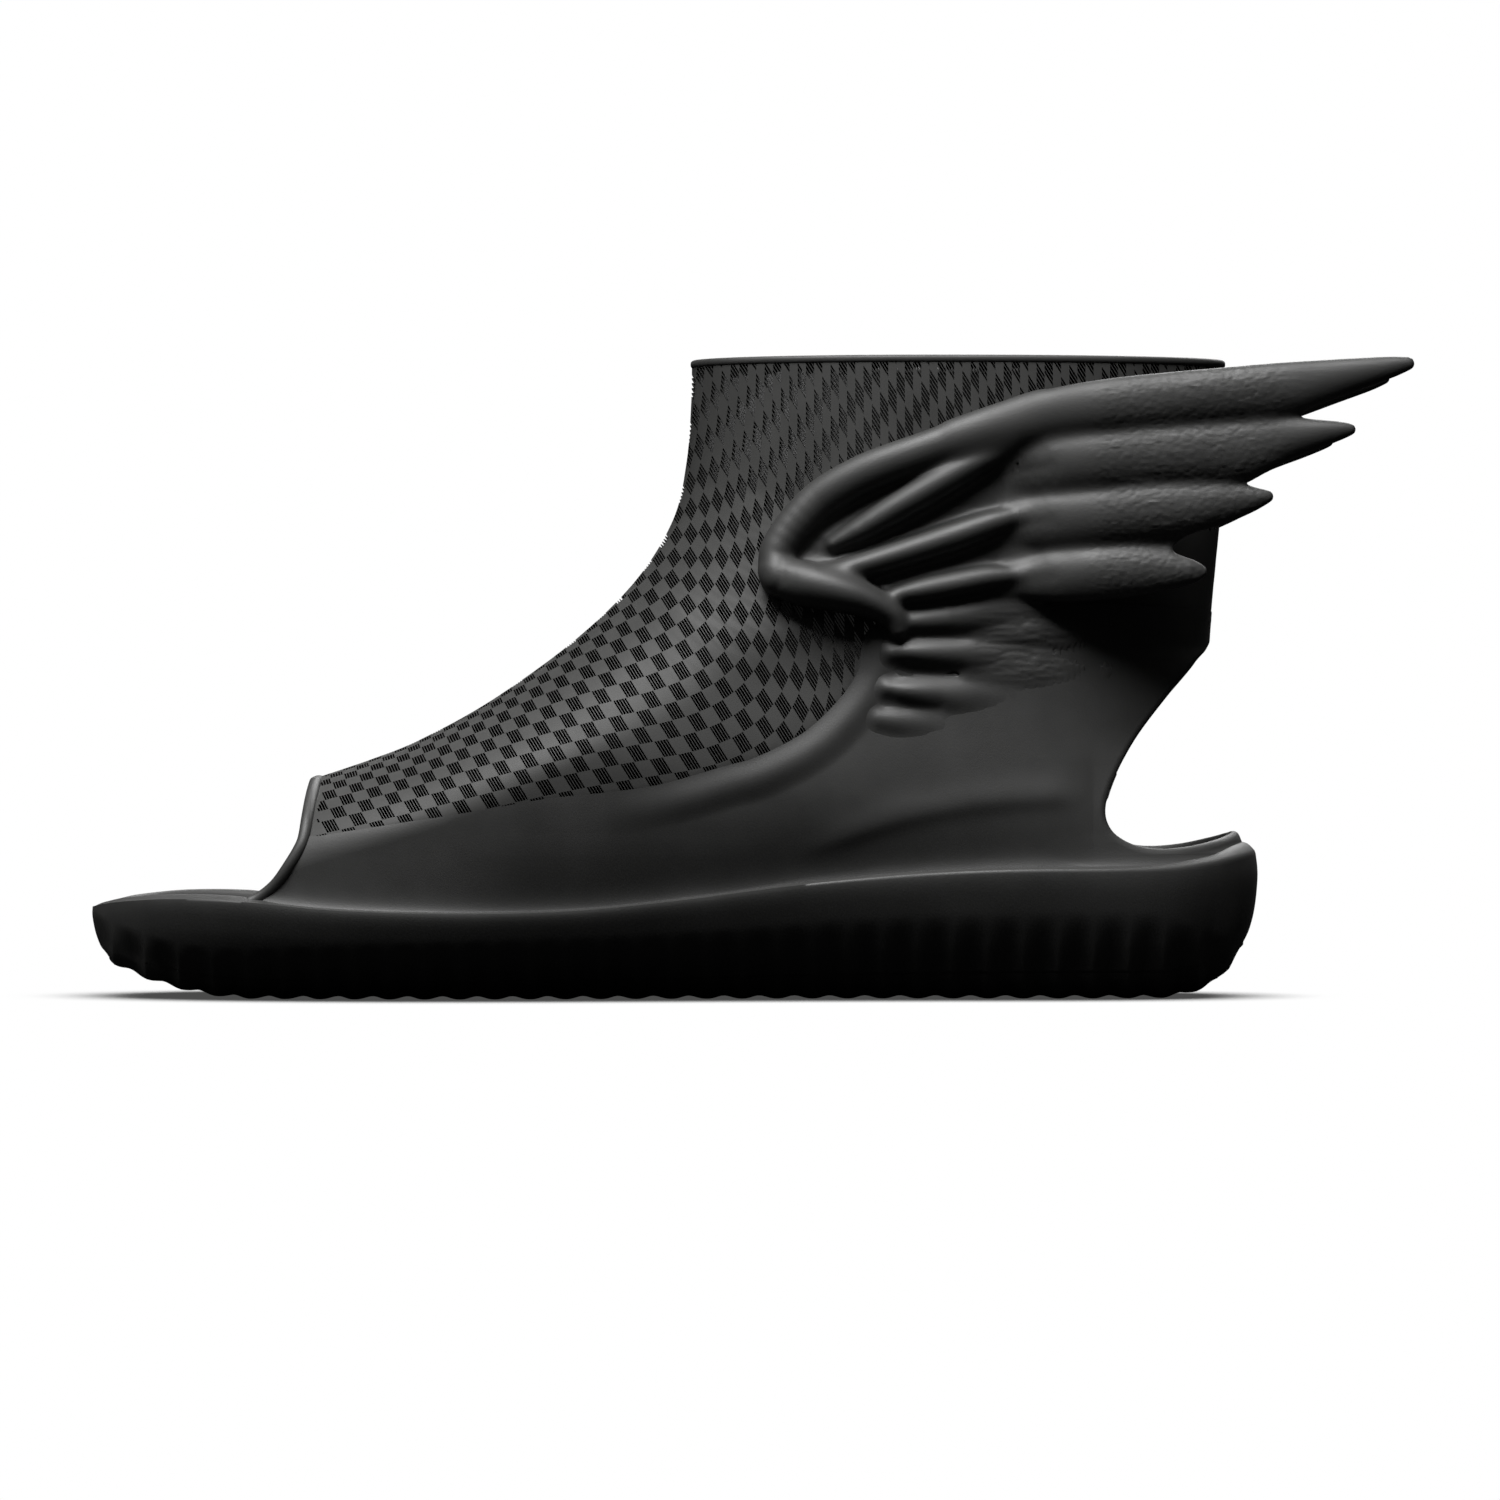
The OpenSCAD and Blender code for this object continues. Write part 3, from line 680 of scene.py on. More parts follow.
def row_count(side, a, s_in, s_out):
    """Rows of cells counted along each line, from cell length on the skin."""
    t = (1 - np.cos(np.linspace(0, np.pi, 160))) / 2
    t = t ** 1.3
    s = s_in[:, None] + (s_out - s_in)[:, None] * t[None, :]
    x = a[:, None] * ACROSS[0] + s * SLIT[0]
    z = a[:, None] * ACROSS[1] + s * SLIT[1]
    w = drawn_width(side, x, z)
    flat = smooth(80, 125, z + 0.9 * np.maximum(x - 45, 0))
    ds = np.maximum(np.diff(s, axis=1), 1e-6)
    climb = np.diff(w, axis=1) / ds
    mid = (flat[:, 1:] + flat[:, :-1]) / 2
    rate = np.sqrt(1 / lerp(FOOT_CELL, LEG_CELL, mid) ** 2
                   + (climb / lerp(FOOT_CELL, LEG_TURN_CELL, mid)) ** 2)
    run = np.concatenate([np.zeros((len(a), 1)), np.cumsum(rate * ds, axis=1)], axis=1)
    ref = np.clip(np.minimum(s_in + 22, s_out - 2), s_in, None)
    fan_a = np.linspace(-80, 220, 601)
    lean = -0.085 + 0.5 * smooth(25, 112, fan_a)
    fan = np.interp(a, fan_a, np.concatenate([[0], np.cumsum((lean[1:] + lean[:-1]) / 2 * np.diff(fan_a))]))
    start = fan + ref / TOP_CELL - np.array([np.interp(r, si, ru) for r, si, ru in zip(ref, s, run)])
    return s, run + start[:, None]


def lattice_side(side, a, cell, column, s_in, s_out):
    s, rows = row_count(side, a, s_in, s_out)
    first, last = math.floor(rows.min()), math.ceil(rows.max())
    marks = np.arange(first * SUB_ROWS, last * SUB_ROWS + 1) / SUB_ROWS
    place = np.array([np.interp(marks, r, q) for r, q in zip(rows, s)])
    x = a[:, None] * ACROSS[0] + place * SLIT[0]
    z = a[:, None] * ACROSS[1] + place * SLIT[1]
    y = half_width(side, x, z)
    y = np.where(y < MID_SNAP, 0, y)
    verts = np.stack([x, side * y, z], axis=-1).reshape(-1, 3)
    quads = grid_faces(len(a), len(marks))
    line, mark = np.divmod(np.arange((len(a) - 1) * (len(marks) - 1)), len(marks) - 1)
    odd = (cell[line] + first + mark // SUB_ROWS) % 2 == 1
    hole = odd & (column[line] % 2 == 1)
    middle = (place[line, mark] + place[line + 1, mark + 1]) / 2
    hole &= (middle - s_in[line] > 0.0) | (a[line] > -44)
    here_x, here_z = x[line, mark], z[line, mark]
    hole &= (here_x > FIRST_HOLE_X) & (here_z >= np.interp(here_x, *PLAIN_BELOW))
    if side == LATERAL:
        quads = quads[:, ::-1]
    return verts, quads, hole


def mid_normals(points):
    """Outward directions for points on the collar's front and rear lines, where the two sides meet."""
    run, rise = np.gradient(instep[:, 0]), np.gradient(instep[:, 1])
    size = np.hypot(run, rise)
    n = np.zeros_like(points)
    n[:, 0] = np.interp(points[:, 2], instep[:, 1], -rise / size)
    n[:, 2] = np.interp(points[:, 2], instep[:, 1], run / size)
    n[points[:, 0] > 60] = (1, 0, 0)
    return n


def build_lattice():
    """The outer surface's points, and the slitted solid as points and faces."""
    lines = lattice_lines()
    parts = [lattice_side(side, *lines) for side in (LATERAL, MEDIAL)]
    verts = np.vstack([p[0] for p in parts])
    quads = np.vstack([parts[0][1], parts[1][1] + len(parts[0][0])])
    hole = np.concatenate([p[2] for p in parts])
    key = np.round(verts / WELD).astype(np.int64)
    _, first, inverse = np.unique(key, axis=0, return_index=True, return_inverse=True)
    quads = inverse.reshape(-1)[quads]
    verts = verts[first]
    distinct = np.array([len(set(q)) for q in quads.tolist()])
    live = distinct >= 3
    quads, hole = quads[live], hole[live]
    for k in range(4):       # a closed-up quad becomes a triangle with its last corner repeated
        same = quads[:, k] == quads[:, (k + 1) % 4]
        q = np.roll(quads[same], -(k + 1), axis=1)[:, :3]
        quads[same] = np.column_stack([q, q[:, 2]])
    quads = facing_out(verts, quads)
    normals = corner_normals(verts, quads)
    on_mid = np.abs(verts[:, 1]) < MID_BAND
    normals[on_mid] = mid_normals(verts[on_mid])
    centre = verts[quads].mean(axis=1)
    cover, _ = to_polyline(verts[:, 0], verts[:, 2], soft_edge)
    under = verts[:, 2] < np.interp(verts[:, 0], soft_edge[:, 0], soft_edge[:, 1])
    verts = verts - normals * (0.5 * smooth(0.5, 2.5, cover * under))[:, None]
    blind = hole & ((centre[:, 1] > 0) | (centre[:, 2] > BLIND_TOP_Z))
    inner, floor = verts - normals * LATTICE_T, verts - normals * BLIND_DEPTH
    return verts, thicken(verts, quads, inner, hole & ~blind, blind, floor)


def grid_key(points):
    """One whole number for each place, to a hundredth of a millimetre."""
    k = np.round(np.asarray(points, float) / 0.01).astype(np.int64) + 200000
    return (k[:, 0] * 400000 + k[:, 1]) * 400000 + k[:, 2]


def paint_inner_shade(piece, outer, painted_shade):
    """Gives every face that is not wholly on the outer surface a painted shade: a near-black material that
    stands in for the shade on the slit walls, on the blind slits' floors and on the inner side.

    The stored coordinates are single precision in metres, so both sets are rounded that way first.
    """
    me = piece.data
    co = np.empty(len(me.vertices) * 3, np.float32)
    me.vertices.foreach_get("co", co)
    on_skin = np.isin(grid_key(co.reshape(-1, 3) / MM), grid_key((outer * MM).astype(np.float32) / MM))
    starts, corners = np.empty(len(me.polygons), np.int32), np.empty(len(me.loops), np.int32)
    me.polygons.foreach_get("loop_start", starts)
    me.loops.foreach_get("vertex_index", corners)
    whole = np.minimum.reduceat(on_skin[corners].astype(np.int8), starts)
    me.materials.append(painted_shade)
    me.polygons.foreach_set("material_index", (1 - whole).astype(np.int32))
    me.update()


outer, (v, f) = build_lattice()
lattice = add_piece("lattice_collar_skin", v, f, lattice_skin_painted_lighter, sharp=40)
# paints the shade inside the slits and on the inner side with the near-black material
paint_inner_shade(lattice, outer, lattice_painted_shade)
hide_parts("lattice_collar")

# ---------------------------------------------------------------- side shell
# Rib lines of the shell: foot x, top x, top z. Their bend lies some way along x and z.
USUAL_BEND = (0.12, 0.5)
RIBS = [(-107, -92.4, 40.6, 0.58, 0.2), (-101, -87.5, 40.8, 0.52, 0.26), (-93, -80, 42, 0.5, 0.38),
        (-81, -68, 43.9, 0.3, 0.45), (-66, -54, 46.1, 0.15, 0.5)]
RIBS += [rib + USUAL_BEND for rib in [
    (-51, -41.4, 48.3), (-37, -29.7, 50.3), (-22, -15, 51.8), (-8, -2.6, 53.7), (7, 13.3, 58.2),
    (15, 21.3, 60.5), (25, 32.7, 66.4), (33, 40.9, 73.9), (40, 45.7, 80.4), (46, 46.9, 85.5), (53, 50, 93),
    (62, 64, 98), (73, 84, 99.5), (84, 106, 99), (92, 127, 98), (94.8, 136.7, 97), (96, 135.9, 89.5),
    (97.5, 132.4, 84.7), (100, 123.6, 74.7), (102.5, 115.9, 64.7), (105, 110.4, 54.7), (107, 108.3, 47.5),
    (109.5, 109.6, 42.6), (113, 113.4, 39.5), (118, 118.3, 37.9), (124, 124, 37.6), (130, 131, 38.4),
    (136, 137.6, 40), (140.6, 141.3, 41.2), (143.4, 142.6, 41.7)]]
rib_curve = spline(RIBS, 14 if FINE else 7)
bare_edge = spline([(-107, 24.8), (-102.9, 26.4), (-99.1, 29.7), (-95.6, 34.5), (-92.4, 40.6)], 6)
heel_edge = spline([(135.9, 89.5), (134.8, 87), (132.4, 84.7), (123.6, 74.7), (115.9, 64.7), (110.4, 54.7),
                    (108.3, 47.5), (109.6, 42.6), (113.4, 39.5), (118.3, 37.9), (124, 37.6), (131, 38.4),
                    (137.6, 40), (142.6, 41.7), (146, 42.4)], 6)
wrinkle = spline([(30, 36), (42, 39.8), (56.4, 44.5), (68, 47), (80.2, 48.8), (92, 49.6), (103, 49.8)], 5)
POCKETS = [[(60, 91.2), (72, 91.6)], [(60.5, 82.8), (71, 82.4)], [(59, 74.4), (66, 74)]]
BAND_LIFT, WRINKLE_LIFT, POCKET_DEPTH = 0.95, 0.6, 0.9
FLARE_OUT, FLARE_RISE = 1.8, 1.9  # the fillet where the upper meets the sole


def foot_flare(x, z):
    """How far the upper spreads outwards just above the sole."""
    return FLARE_OUT * np.exp(-np.clip(z - ridge_z(x), 0, None) / FLARE_RISE)


def above(x, z, line):
    """Signed distance, positive above a line that runs with x."""
    d, _ = to_polyline(x, z, line)
    return np.where(z > np.interp(x, line[:, 0], line[:, 1]), d, -d)


def shell_thickness(x, z):
    """Height of the shell's outer face over the lattice surface."""
    d, _ = to_polyline(x, z, soft_edge)
    t = 0.2 + 0.5 * smooth(3, 22, d)
    band = smooth(-25, 22, x) * (x < 70)      # the raised band that sweeps up to the wing
    t = t + BAND_LIFT * band * smooth(-0.5, 5.0, d) * (1 - smooth(5.2, 11.0, d))
    s = above(x, z, wrinkle) - 0.8
    fade = smooth(28, 46, x) * (1 - smooth(92, 106, x))
    t = t + WRINKLE_LIFT * fade * np.exp(-(s / np.where(s > 0, 4.5, 2.7)) ** 2)
    for line in POCKETS:
        p, _ = to_polyline(x, z, line)
        t = t - POCKET_DEPTH * np.exp(-(p / 1.9) ** 2)
    return np.maximum(t, 0.15) + foot_flare(x, z)


def shell_grid(side, rows):
    """Points of one side's skin, along curved ribs that run up from the sole."""
    v = np.linspace(0, 1, rows) ** 0.9
    r = rib_curve
    foot = np.stack([r[:, 0], ridge_z(r[:, 0]) - 0.6], axis=1)
    top = r[:, 1:3]
    bend = np.stack([lerp(foot[:, 0], top[:, 0], r[:, 3]), lerp(foot[:, 1], top[:, 1], r[:, 4])], axis=1)
    v = v[:, None, None]
    p = foot * (1 - v) ** 2 + bend * 2 * v * (1 - v) + top * v**2
    x, z = p[..., 0], p[..., 1]
    x = np.minimum(x, rear_x(z))
    x[:, -1] = rear_x(z[:, -1])
    y = half_width(side, x, z)
    y[:, -1] = 0
    return np.stack([x, side * y, z], axis=-1)


def build_shell():
    rows = 72 if FINE else 36
    lateral, medial = shell_grid(LATERAL, rows), shell_grid(MEDIAL, rows)
    grid = np.concatenate([lateral, medial[:, -2::-1]], axis=1)
    flat = grid.reshape(-1, 3)
    quads = facing_out(flat, grid_faces(*grid.shape[:2]))
    normals = corner_normals(flat, quads)
    x, z = flat[:, 0], flat[:, 2]
    t = shell_thickness(x, z)
    front, _ = to_polyline(x, z, bare_edge)
    heel, _ = to_polyline(x, z, heel_edge)
    edge = bulge(np.minimum(front / 0.5, heel / 1.8))
    soft, _ = to_polyline(x, z, soft_edge)
    depth = 0.02 - 1.75 * smooth(7, 11, soft)
    middle = (t + depth) / 2
    t, depth = lerp(middle + 0.1, t, edge), lerp(middle - 0.1, depth, edge)
    return thicken(flat + normals * t[:, None], quads, flat + normals * depth[:, None])


v, f = build_shell()
shell = add_piece("side_shell_skin", v, f, skin, sharp=50)
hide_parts("side_shell")


# ---------------------------------------------------------------- rims
def tube(line, across, up, section, wrap):
    """Sweeps a closed section along a line; section is a list of (across, up) offsets."""
    n, m = len(line), len(section)
    section = np.asarray(section)
    pts = line[:, None, :] + across[:, None, :] * section[None, :, :1] + up[:, None, :] * section[None, :, 1:]
    pts = pts.reshape(-1, 3)
    i, k = np.meshgrid(np.arange(n if wrap else n - 1), np.arange(m), indexing="ij")
    a, b = i * m + k, i * m + (k + 1) % m
    c, d = ((i + 1) % n) * m + (k + 1) % m, ((i + 1) % n) * m + k
    quads = np.stack([a, d, c, b], axis=-1).reshape(-1, 4)
    if not wrap:
        for base, flip in ((0, False), ((n - 1) * m, True)):
            fan = np.array([(0, j, j + 1, j + 1) for j in range(1, m - 1)]) + base
            quads = np.vstack([quads, fan[:, [0, 2, 1, 1]] if not flip else fan])
    return pts, quads


def oval(half_a, half_b, steps=20, power=2.6):
    t = np.arange(steps) / steps * 2 * np.pi
    c, s = (np.sign(w) * np.abs(w) ** (2 / power) for w in (np.cos(t), np.sin(t)))
    return np.stack([half_a * c, half_b * s], axis=1)


def loop_directions(line, wrap):
    nxt, prv = np.roll(line, -1, axis=0), np.roll(line, 1, axis=0)
    if not wrap:
        nxt[-1], prv[0] = line[-1], line[0]
    d = nxt - prv
    return d / np.linalg.norm(d, axis=1)[:, None]


def top_line(z):
    t = np.linspace(0, np.pi, 1200)
    x = lerp(COLLAR_FRONT, rear_x(z), (1 - np.cos(t)) / 2)
    halves = [np.column_stack([x, side * half_width(side, x, np.full_like(x, z)), np.full_like(x, z)])
              for side in (LATERAL, MEDIAL)]
    for h in halves:
        h[[0, -1], 1] = 0
    return even(np.vstack([halves[0], halves[1][-2::-1]]), 0.7)[:-1]


rim_line = top_line(TOP_Z)
ahead = loop_directions(rim_line, True)
rim_out = np.column_stack([ahead[:, 1], -ahead[:, 0], np.zeros(len(ahead))])
upward = np.tile([0.0, 0.0, 1.0], (len(ahead), 1))
v, f = tube(rim_line - rim_out * 0.85 - upward * 0.05, rim_out, upward, oval(1.2, 1.05), True)
collar_rim = add_piece("collar_rim_roll", v, f, skin)
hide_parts("collar_rim")

toe_path = even(spline([(-106.6, 24.2), (-102.9, 26.4), (-99.1, 29.7), (-95.6, 34.5), (-93.2, 38.5),
                        (-92.4, 41), (-91.9, 45), (-91.4, 50), (-91.0, 53.2)], 8), 0.25)
sides = []
for side in (LATERAL, MEDIAL):
    x, z = toe_path.T
    sides.append(np.column_stack([x + 0.5, side * (half_width(side, x, z) + foot_flare(x, z)), z]))
toe_line = np.vstack([sides[0], [[-90.5, 0, 53.5]], sides[1][::-1]])
toe_line = even(toe_line, 0.6)
ahead = loop_directions(toe_line, False)
face = np.column_stack([np.zeros(len(ahead)), ahead[:, 2], -ahead[:, 1]])
face /= np.maximum(np.linalg.norm(face, axis=1), 1e-6)[:, None]
front_dir = np.cross(face, ahead)
front_dir /= np.linalg.norm(front_dir, axis=1)[:, None]
sink = lerp(0.7, 1.1, smooth(39, 44, toe_line[:, 2]))[:, None]    # how far the bead sits into the wall
back = front_dir * np.sign(front_dir[:, :1] + 1e-9)
v, f = tube(toe_line - face * sink + back * 0.7, front_dir, face, oval(1.5, 1.25, 16, 2.0), False)
toe_rim = add_piece("toe_opening_bead", v, f, skin)
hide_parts("toe_opening_rim")


# ---------------------------------------------------------------- wings
# Each ridge: x, z, half height, half depth, height of its middle over the collar
ARM = [(26, 108, 4.4, 5, 2.2), (26.6, 112, 4.6, 5, 2.2), (30.6, 118, 4.9, 4.8, 2.1),
       (37.6, 125, 5.0, 4.6, 2.0), (48.4, 131.3, 4.9, 4.4, 2.0), (62.6, 136.6, 4.8, 4.2, 2.0),
       (77.4, 141.4, 5.2, 4, 2.1), (92, 145.4, 6, 4, 2.3)]
COVERTS = [
    ARM,
    [(40.5, 113.6, 1.8, 2.4, 1.3), (47, 117, 3.0, 3.6, 1.6), (56, 122.4, 3.7, 4.3, 1.8),
     (68.4, 129.6, 3.9, 4.4, 1.8), (77.5, 134.6, 3.3, 3.8, 1.7), (84, 137.4, 2.2, 2.8, 1.5)],
    [(40, 106, 2.8, 3.4, 2.0), (50, 108.8, 3.2, 4, 1.9), (61, 112.2, 3.5, 4.2, 1.8),
     (71.4, 115.6, 3.6, 4, 1.7), (80, 118.6, 3.2, 3.4, 1.6), (87, 120.6, 2.2, 2.4, 1.4)],
    [(56.4, 100.8, 2.2, 3, 1.7), (62, 101.8, 3.0, 3.8, 1.7), (70, 103.3, 3.2, 3.7, 1.7),
     (79, 105, 2.9, 3.2, 1.6), (87, 105.6, 2.0, 2.2, 1.4)],
    [(27, 105, 4.8, 5.6, 2.6), (33, 103.6, 5.7, 6.6, 2.8), (41.5, 101.6, 5.2, 6.6, 2.8),
     (49, 99.2, 4.2, 5.8, 2.4), (54.6, 96, 3.4, 4.6, 1.9), (56.4, 92.2, 2.6, 3.4, 1.6)],
    [(54.5, 93.6, 1.2, 2.2, 0.2), (58.5, 94, 2.2, 2.9, 0.5), (64, 94.4, 2.9, 3.0, 0.4),
     (73, 95.2, 3.0, 2.4, 0.1), (82, 96.4, 2.6, 1.6, -0.4), (92, 97, 1.8, 1.0, -0.8)],
    [(55, 86.3, 1.2, 2.0, 0.0), (59, 86.4, 2.1, 2.8, 0.4), (64, 86.2, 2.8, 2.9, 0.4),
     (72, 85.9, 2.8, 2.2, 0.1), (80.6, 85.6, 2.4, 1.5, -0.5), (90, 85.4, 1.8, 0.9, -1.0)],
    [(54, 77.4, 1.1, 1.8, -0.1), (58, 76.8, 2.0, 2.5, 0.2), (63, 76.2, 2.5, 2.5, 0.1),
     (69, 75.6, 2.4, 1.9, -0.3), (77, 75.2, 2.0, 1.2, -1.0), (84, 75, 1.6, 0.8, -1.5)],
    [(52, 69.8, 1.1, 1.2, -0.5), (56, 69.2, 1.6, 1.5, -0.6), (61, 68.8, 1.5, 1.2, -1.0),
     (66, 68.6, 1.4, 0.9, -1.5)],
    [(76, 91.8, 2.2, 1.0, -0.9), (88, 91.6, 3.2, 1.6, -0.6), (97, 91.4, 3.0, 1.3, -0.8),
     (108, 91, 2, 0.8, -1.4)],
    [(74, 82.2, 2.2, 1.0, -1.0), (86, 82, 3.0, 1.5, -0.7), (95, 81.8, 2.8, 1.2, -0.9),
     (106, 81.4, 2, 0.8, -1.5)]]
PRIMARIES = [
    [(72, 139.6, 4.6, 3.6, 2.0), (84, 142.8, 5.6, 3.8, 2.2), (94, 145.6, 6.4, 4, 2.4),
     (107, 147.6, 6.8, 4, 2.6), (121, 149, 7.0, 4, 2.6), (138, 150.6, 6.9, 3.8, 2.6),
     (152, 152, 6.7, 3.4, 2.6), (160, 153.6, 5.6, 3, 2.6), (170, 155.7, 4.1, 2.6, 2.6),
     (179, 157.5, 2.7, 2.0, 2.6), (183.4, 158.4, 1.7, 1.4, 2.6)],
    [(82, 130.8, 3.0, 1.2, -1.0), (88, 131.8, 5.0, 2.2, 0.4), (94, 132.8, 6.6, 3.1, 1.7),
     (100, 133.6, 7.3, 3.7, 2.3), (118, 135.4, 7.6, 3.9, 2.6), (131, 136.2, 7.7, 3.8, 2.6),
     (142, 137, 7.6, 3.4, 2.6), (152, 139.4, 5.4, 2.8, 2.6), (161, 140.9, 3.6, 2.4, 2.6),
     (166.5, 141.7, 2.3, 1.8, 2.6), (169, 142, 1.5, 1.3, 2.6)],
    [(82, 117.2, 2.8, 1.2, -1.0), (88, 118.2, 4.6, 2.2, 0.4), (94, 119, 6.2, 3.1, 1.7),
     (100, 119.6, 6.9, 3.6, 2.3), (118, 121.6, 7.0, 3.8, 2.6), (129, 122.6, 6.3, 3.5, 2.6),
     (136.5, 123.5, 5.2, 3, 2.6), (143, 124.4, 3.5, 2.3, 2.6), (146.6, 125, 2.3, 1.8, 2.6),
     (148.4, 125.3, 1.6, 1.3, 2.6)],
    [(82, 103.4, 2.4, 1.2, -0.6), (88, 104.2, 4.2, 2.2, 0.6), (94, 104.9, 5.6, 3.1, 1.8),
     (99, 105.4, 6.4, 3.6, 2.3), (112, 106.4, 6.4, 3.6, 2.6), (122, 106.7, 5, 3, 2.6),
     (128.4, 106.6, 3.4, 2.4, 2.6), (131.6, 106.6, 1.8, 1.4, 2.6)]]
FIXED_RIDGES = 5                  # the rest of COVERTS are lobes that melt into the shell
QUILL_Y = 39.9                    # distance of the free feathers from the mid plane
SPLIT_X = 86.5                    # the feathers are cut from the coverts at this x, above this z
SPLIT_Z = 98.5
COVERT_AREA = [(26, 109), (29, 116), (38, 125), (49, 131.5), (63, 137), (77, 141.5), (92, 146), (92, 97),
               (58, 95), (50, 99), (36, 103)]
WEB_AREA = [(84, 103), (84, 146), (120, 150), (148, 150), (148, 143), (138, 132), (132, 121), (120, 108),
            (106, 103)]
LOBE_AREA = [(52, 108), (50.5, 97), (52, 90), (50.6, 80), (47.8, 72), (46, 62), (80, 60), (110, 72),
             (112, 97), (104, 104)]


FAR = 9.0                         # distance where no ridge is near
SHEET_T, WEB_T = 0.7, 2.0         # sheet under the coverts, web between the free feathers
GROUND_SINK, SKIN_GAP = 0.12, 0.03
FLAKE_DEPTH, RIPPLE_DEPTH = 0.13, 0.14


def polygon_distance(x, z, corners):
    p = np.asarray(corners, float)
    d = np.full(x.shape, 1e9)
    inside = np.zeros(x.shape, bool)
    for (ax, az), (bx, bz) in zip(p, np.roll(p, -1, axis=0)):
        dx, dz = bx - ax, bz - az
        t = np.clip(((x - ax) * dx + (z - az) * dz) / (dx * dx + dz * dz), 0, 1)
        d = np.minimum(d, np.hypot(x - ax - t * dx, z - az - t * dz))
        inside ^= ((az > z) != (bz > z)) & (x < ax + (z - az) / (bz - az + 1e-12) * dx)
    return np.where(inside, -d, d)


def merge(a, b, k):
    """Smooth union of two distance fields."""
    h = np.maximum(k - np.abs(a - b), 0) / k
    return np.minimum(a, b) - h * h * k * 0.25


class Wing:
    """Distance field of one wing, over a box of samples (x, distance from the mid plane, z)."""

    def __init__(self, side, step):
        self.side, self.step = side, step
        self.low = np.array([17.0, 18.5, 60.0])
        high = np.array([188.0, 49.5, 164.5])
        self.shape = np.ceil((high - self.low) / step).astype(int) + 1
        self.axes = [self.low[k] + step * np.arange(self.shape[k]) for k in range(3)]
        self.x, self.z = np.meshgrid(self.axes[0], self.axes[2], indexing="ij")
        self.skin = half_width(side, self.x, self.z)
        wx, wz = np.gradient(self.skin, step)
        self.lean = 1 / np.sqrt(1 + np.minimum(wx**2 + wz**2, 4))
        self.a = self.axes[1][None, :, None]

    def over_skin(self, height):
        """Distance above the collar's surface raised by a height."""
        return (self.a - self.skin[:, None, :]) * self.lean[:, None, :] - height

    def ridge(self, points, free):
        p = even(spline(points, 8), 0.8)
        base = half_width(self.side, p[:, 0], p[:, 1]) + p[:, 4]
        if free:
            base = lerp(base, QUILL_Y, smooth(80, 108, p[:, 0]))
        reach = 9.0
        i0, i1 = np.searchsorted(self.axes[0], [p[:, 0].min() - reach, p[:, 0].max() + reach])
        k0, k1 = np.searchsorted(self.axes[2], [p[:, 1].min() - reach, p[:, 1].max() + reach])
        box = (slice(max(i0, 0), i1), slice(None), slice(max(k0, 0), k1))
        x, z = self.x[box[0], box[2]], self.z[box[0], box[2]]
        best = np.full(x.shape, 1e9)
        gap2, mid, half, flat = (np.zeros(x.shape) for _ in range(4))
        for j in range(len(p) - 1):
            d = p[j + 1] - p[j]
            t = np.clip(((x - p[j, 0]) * d[0] + (z - p[j, 1]) * d[1]) / (d[0] ** 2 + d[1] ** 2), 0, 1)
            r = p[j, 2] + t * d[2]
            g = (x - p[j, 0] - t * d[0]) ** 2 + (z - p[j, 1] - t * d[1]) ** 2
            score = np.sqrt(g) - r
            m = score < best
            best = np.where(m, score, best)
            gap2 = np.where(m, g, gap2)
            half = np.where(m, r, half)
            mid = np.where(m, base[j] + t * (base[j + 1] - base[j]), mid)
            flat = np.where(m, (p[j, 3] + t * d[3]) / r, flat)
        across = (self.a - mid[:, None, :]) / flat[:, None, :]
        return box, np.sqrt(gap2[:, None, :] + across**2) - half[:, None, :]

    def ridges(self, field, group, free, blend):
        for points in group:
            box, d = self.ridge(points, free)
            field[box] = merge(field[box], d, blend)

    def area(self, corners):
        return polygon_distance(self.x, self.z, corners)[:, None, :]

    def build(self):
        field, lobes = np.full(self.shape, FAR), np.full(self.shape, FAR)
        self.ridges(field, COVERTS[:FIXED_RIDGES], False, 2.6)
        self.ridges(field, PRIMARIES, True, 3.2)
        sheet = np.maximum(self.over_skin(SHEET_T), self.area(COVERT_AREA))
        field = merge(field, sheet, 2.4)
        web_y = lerp(34.5, 38.6, smooth(80, 106, self.x))[:, None, :]
        web = np.maximum(np.abs(self.a - web_y) - WEB_T / 2, self.area(WEB_AREA))
        field = merge(field, web, 3.2)
        self.ridges(lobes, COVERTS[FIXED_RIDGES:], False, 2.0)
        bed = self.over_skin(0)
        thick = shell_thickness(self.x, self.z)
        ground = merge(lobes, bed - thick[:, None, :], 4.0) + GROUND_SINK
        ground = np.maximum(ground, self.area(LOBE_AREA))
        field = merge(field, ground, 1.6)
        for axis in range(3):
            f = np.moveaxis(field, axis, 0)
            f[1:-1] = (f[:-2] + 2 * f[1:-1] + f[2:]) / 4
        self.field = np.maximum(field, SKIN_GAP - bed)
        return self


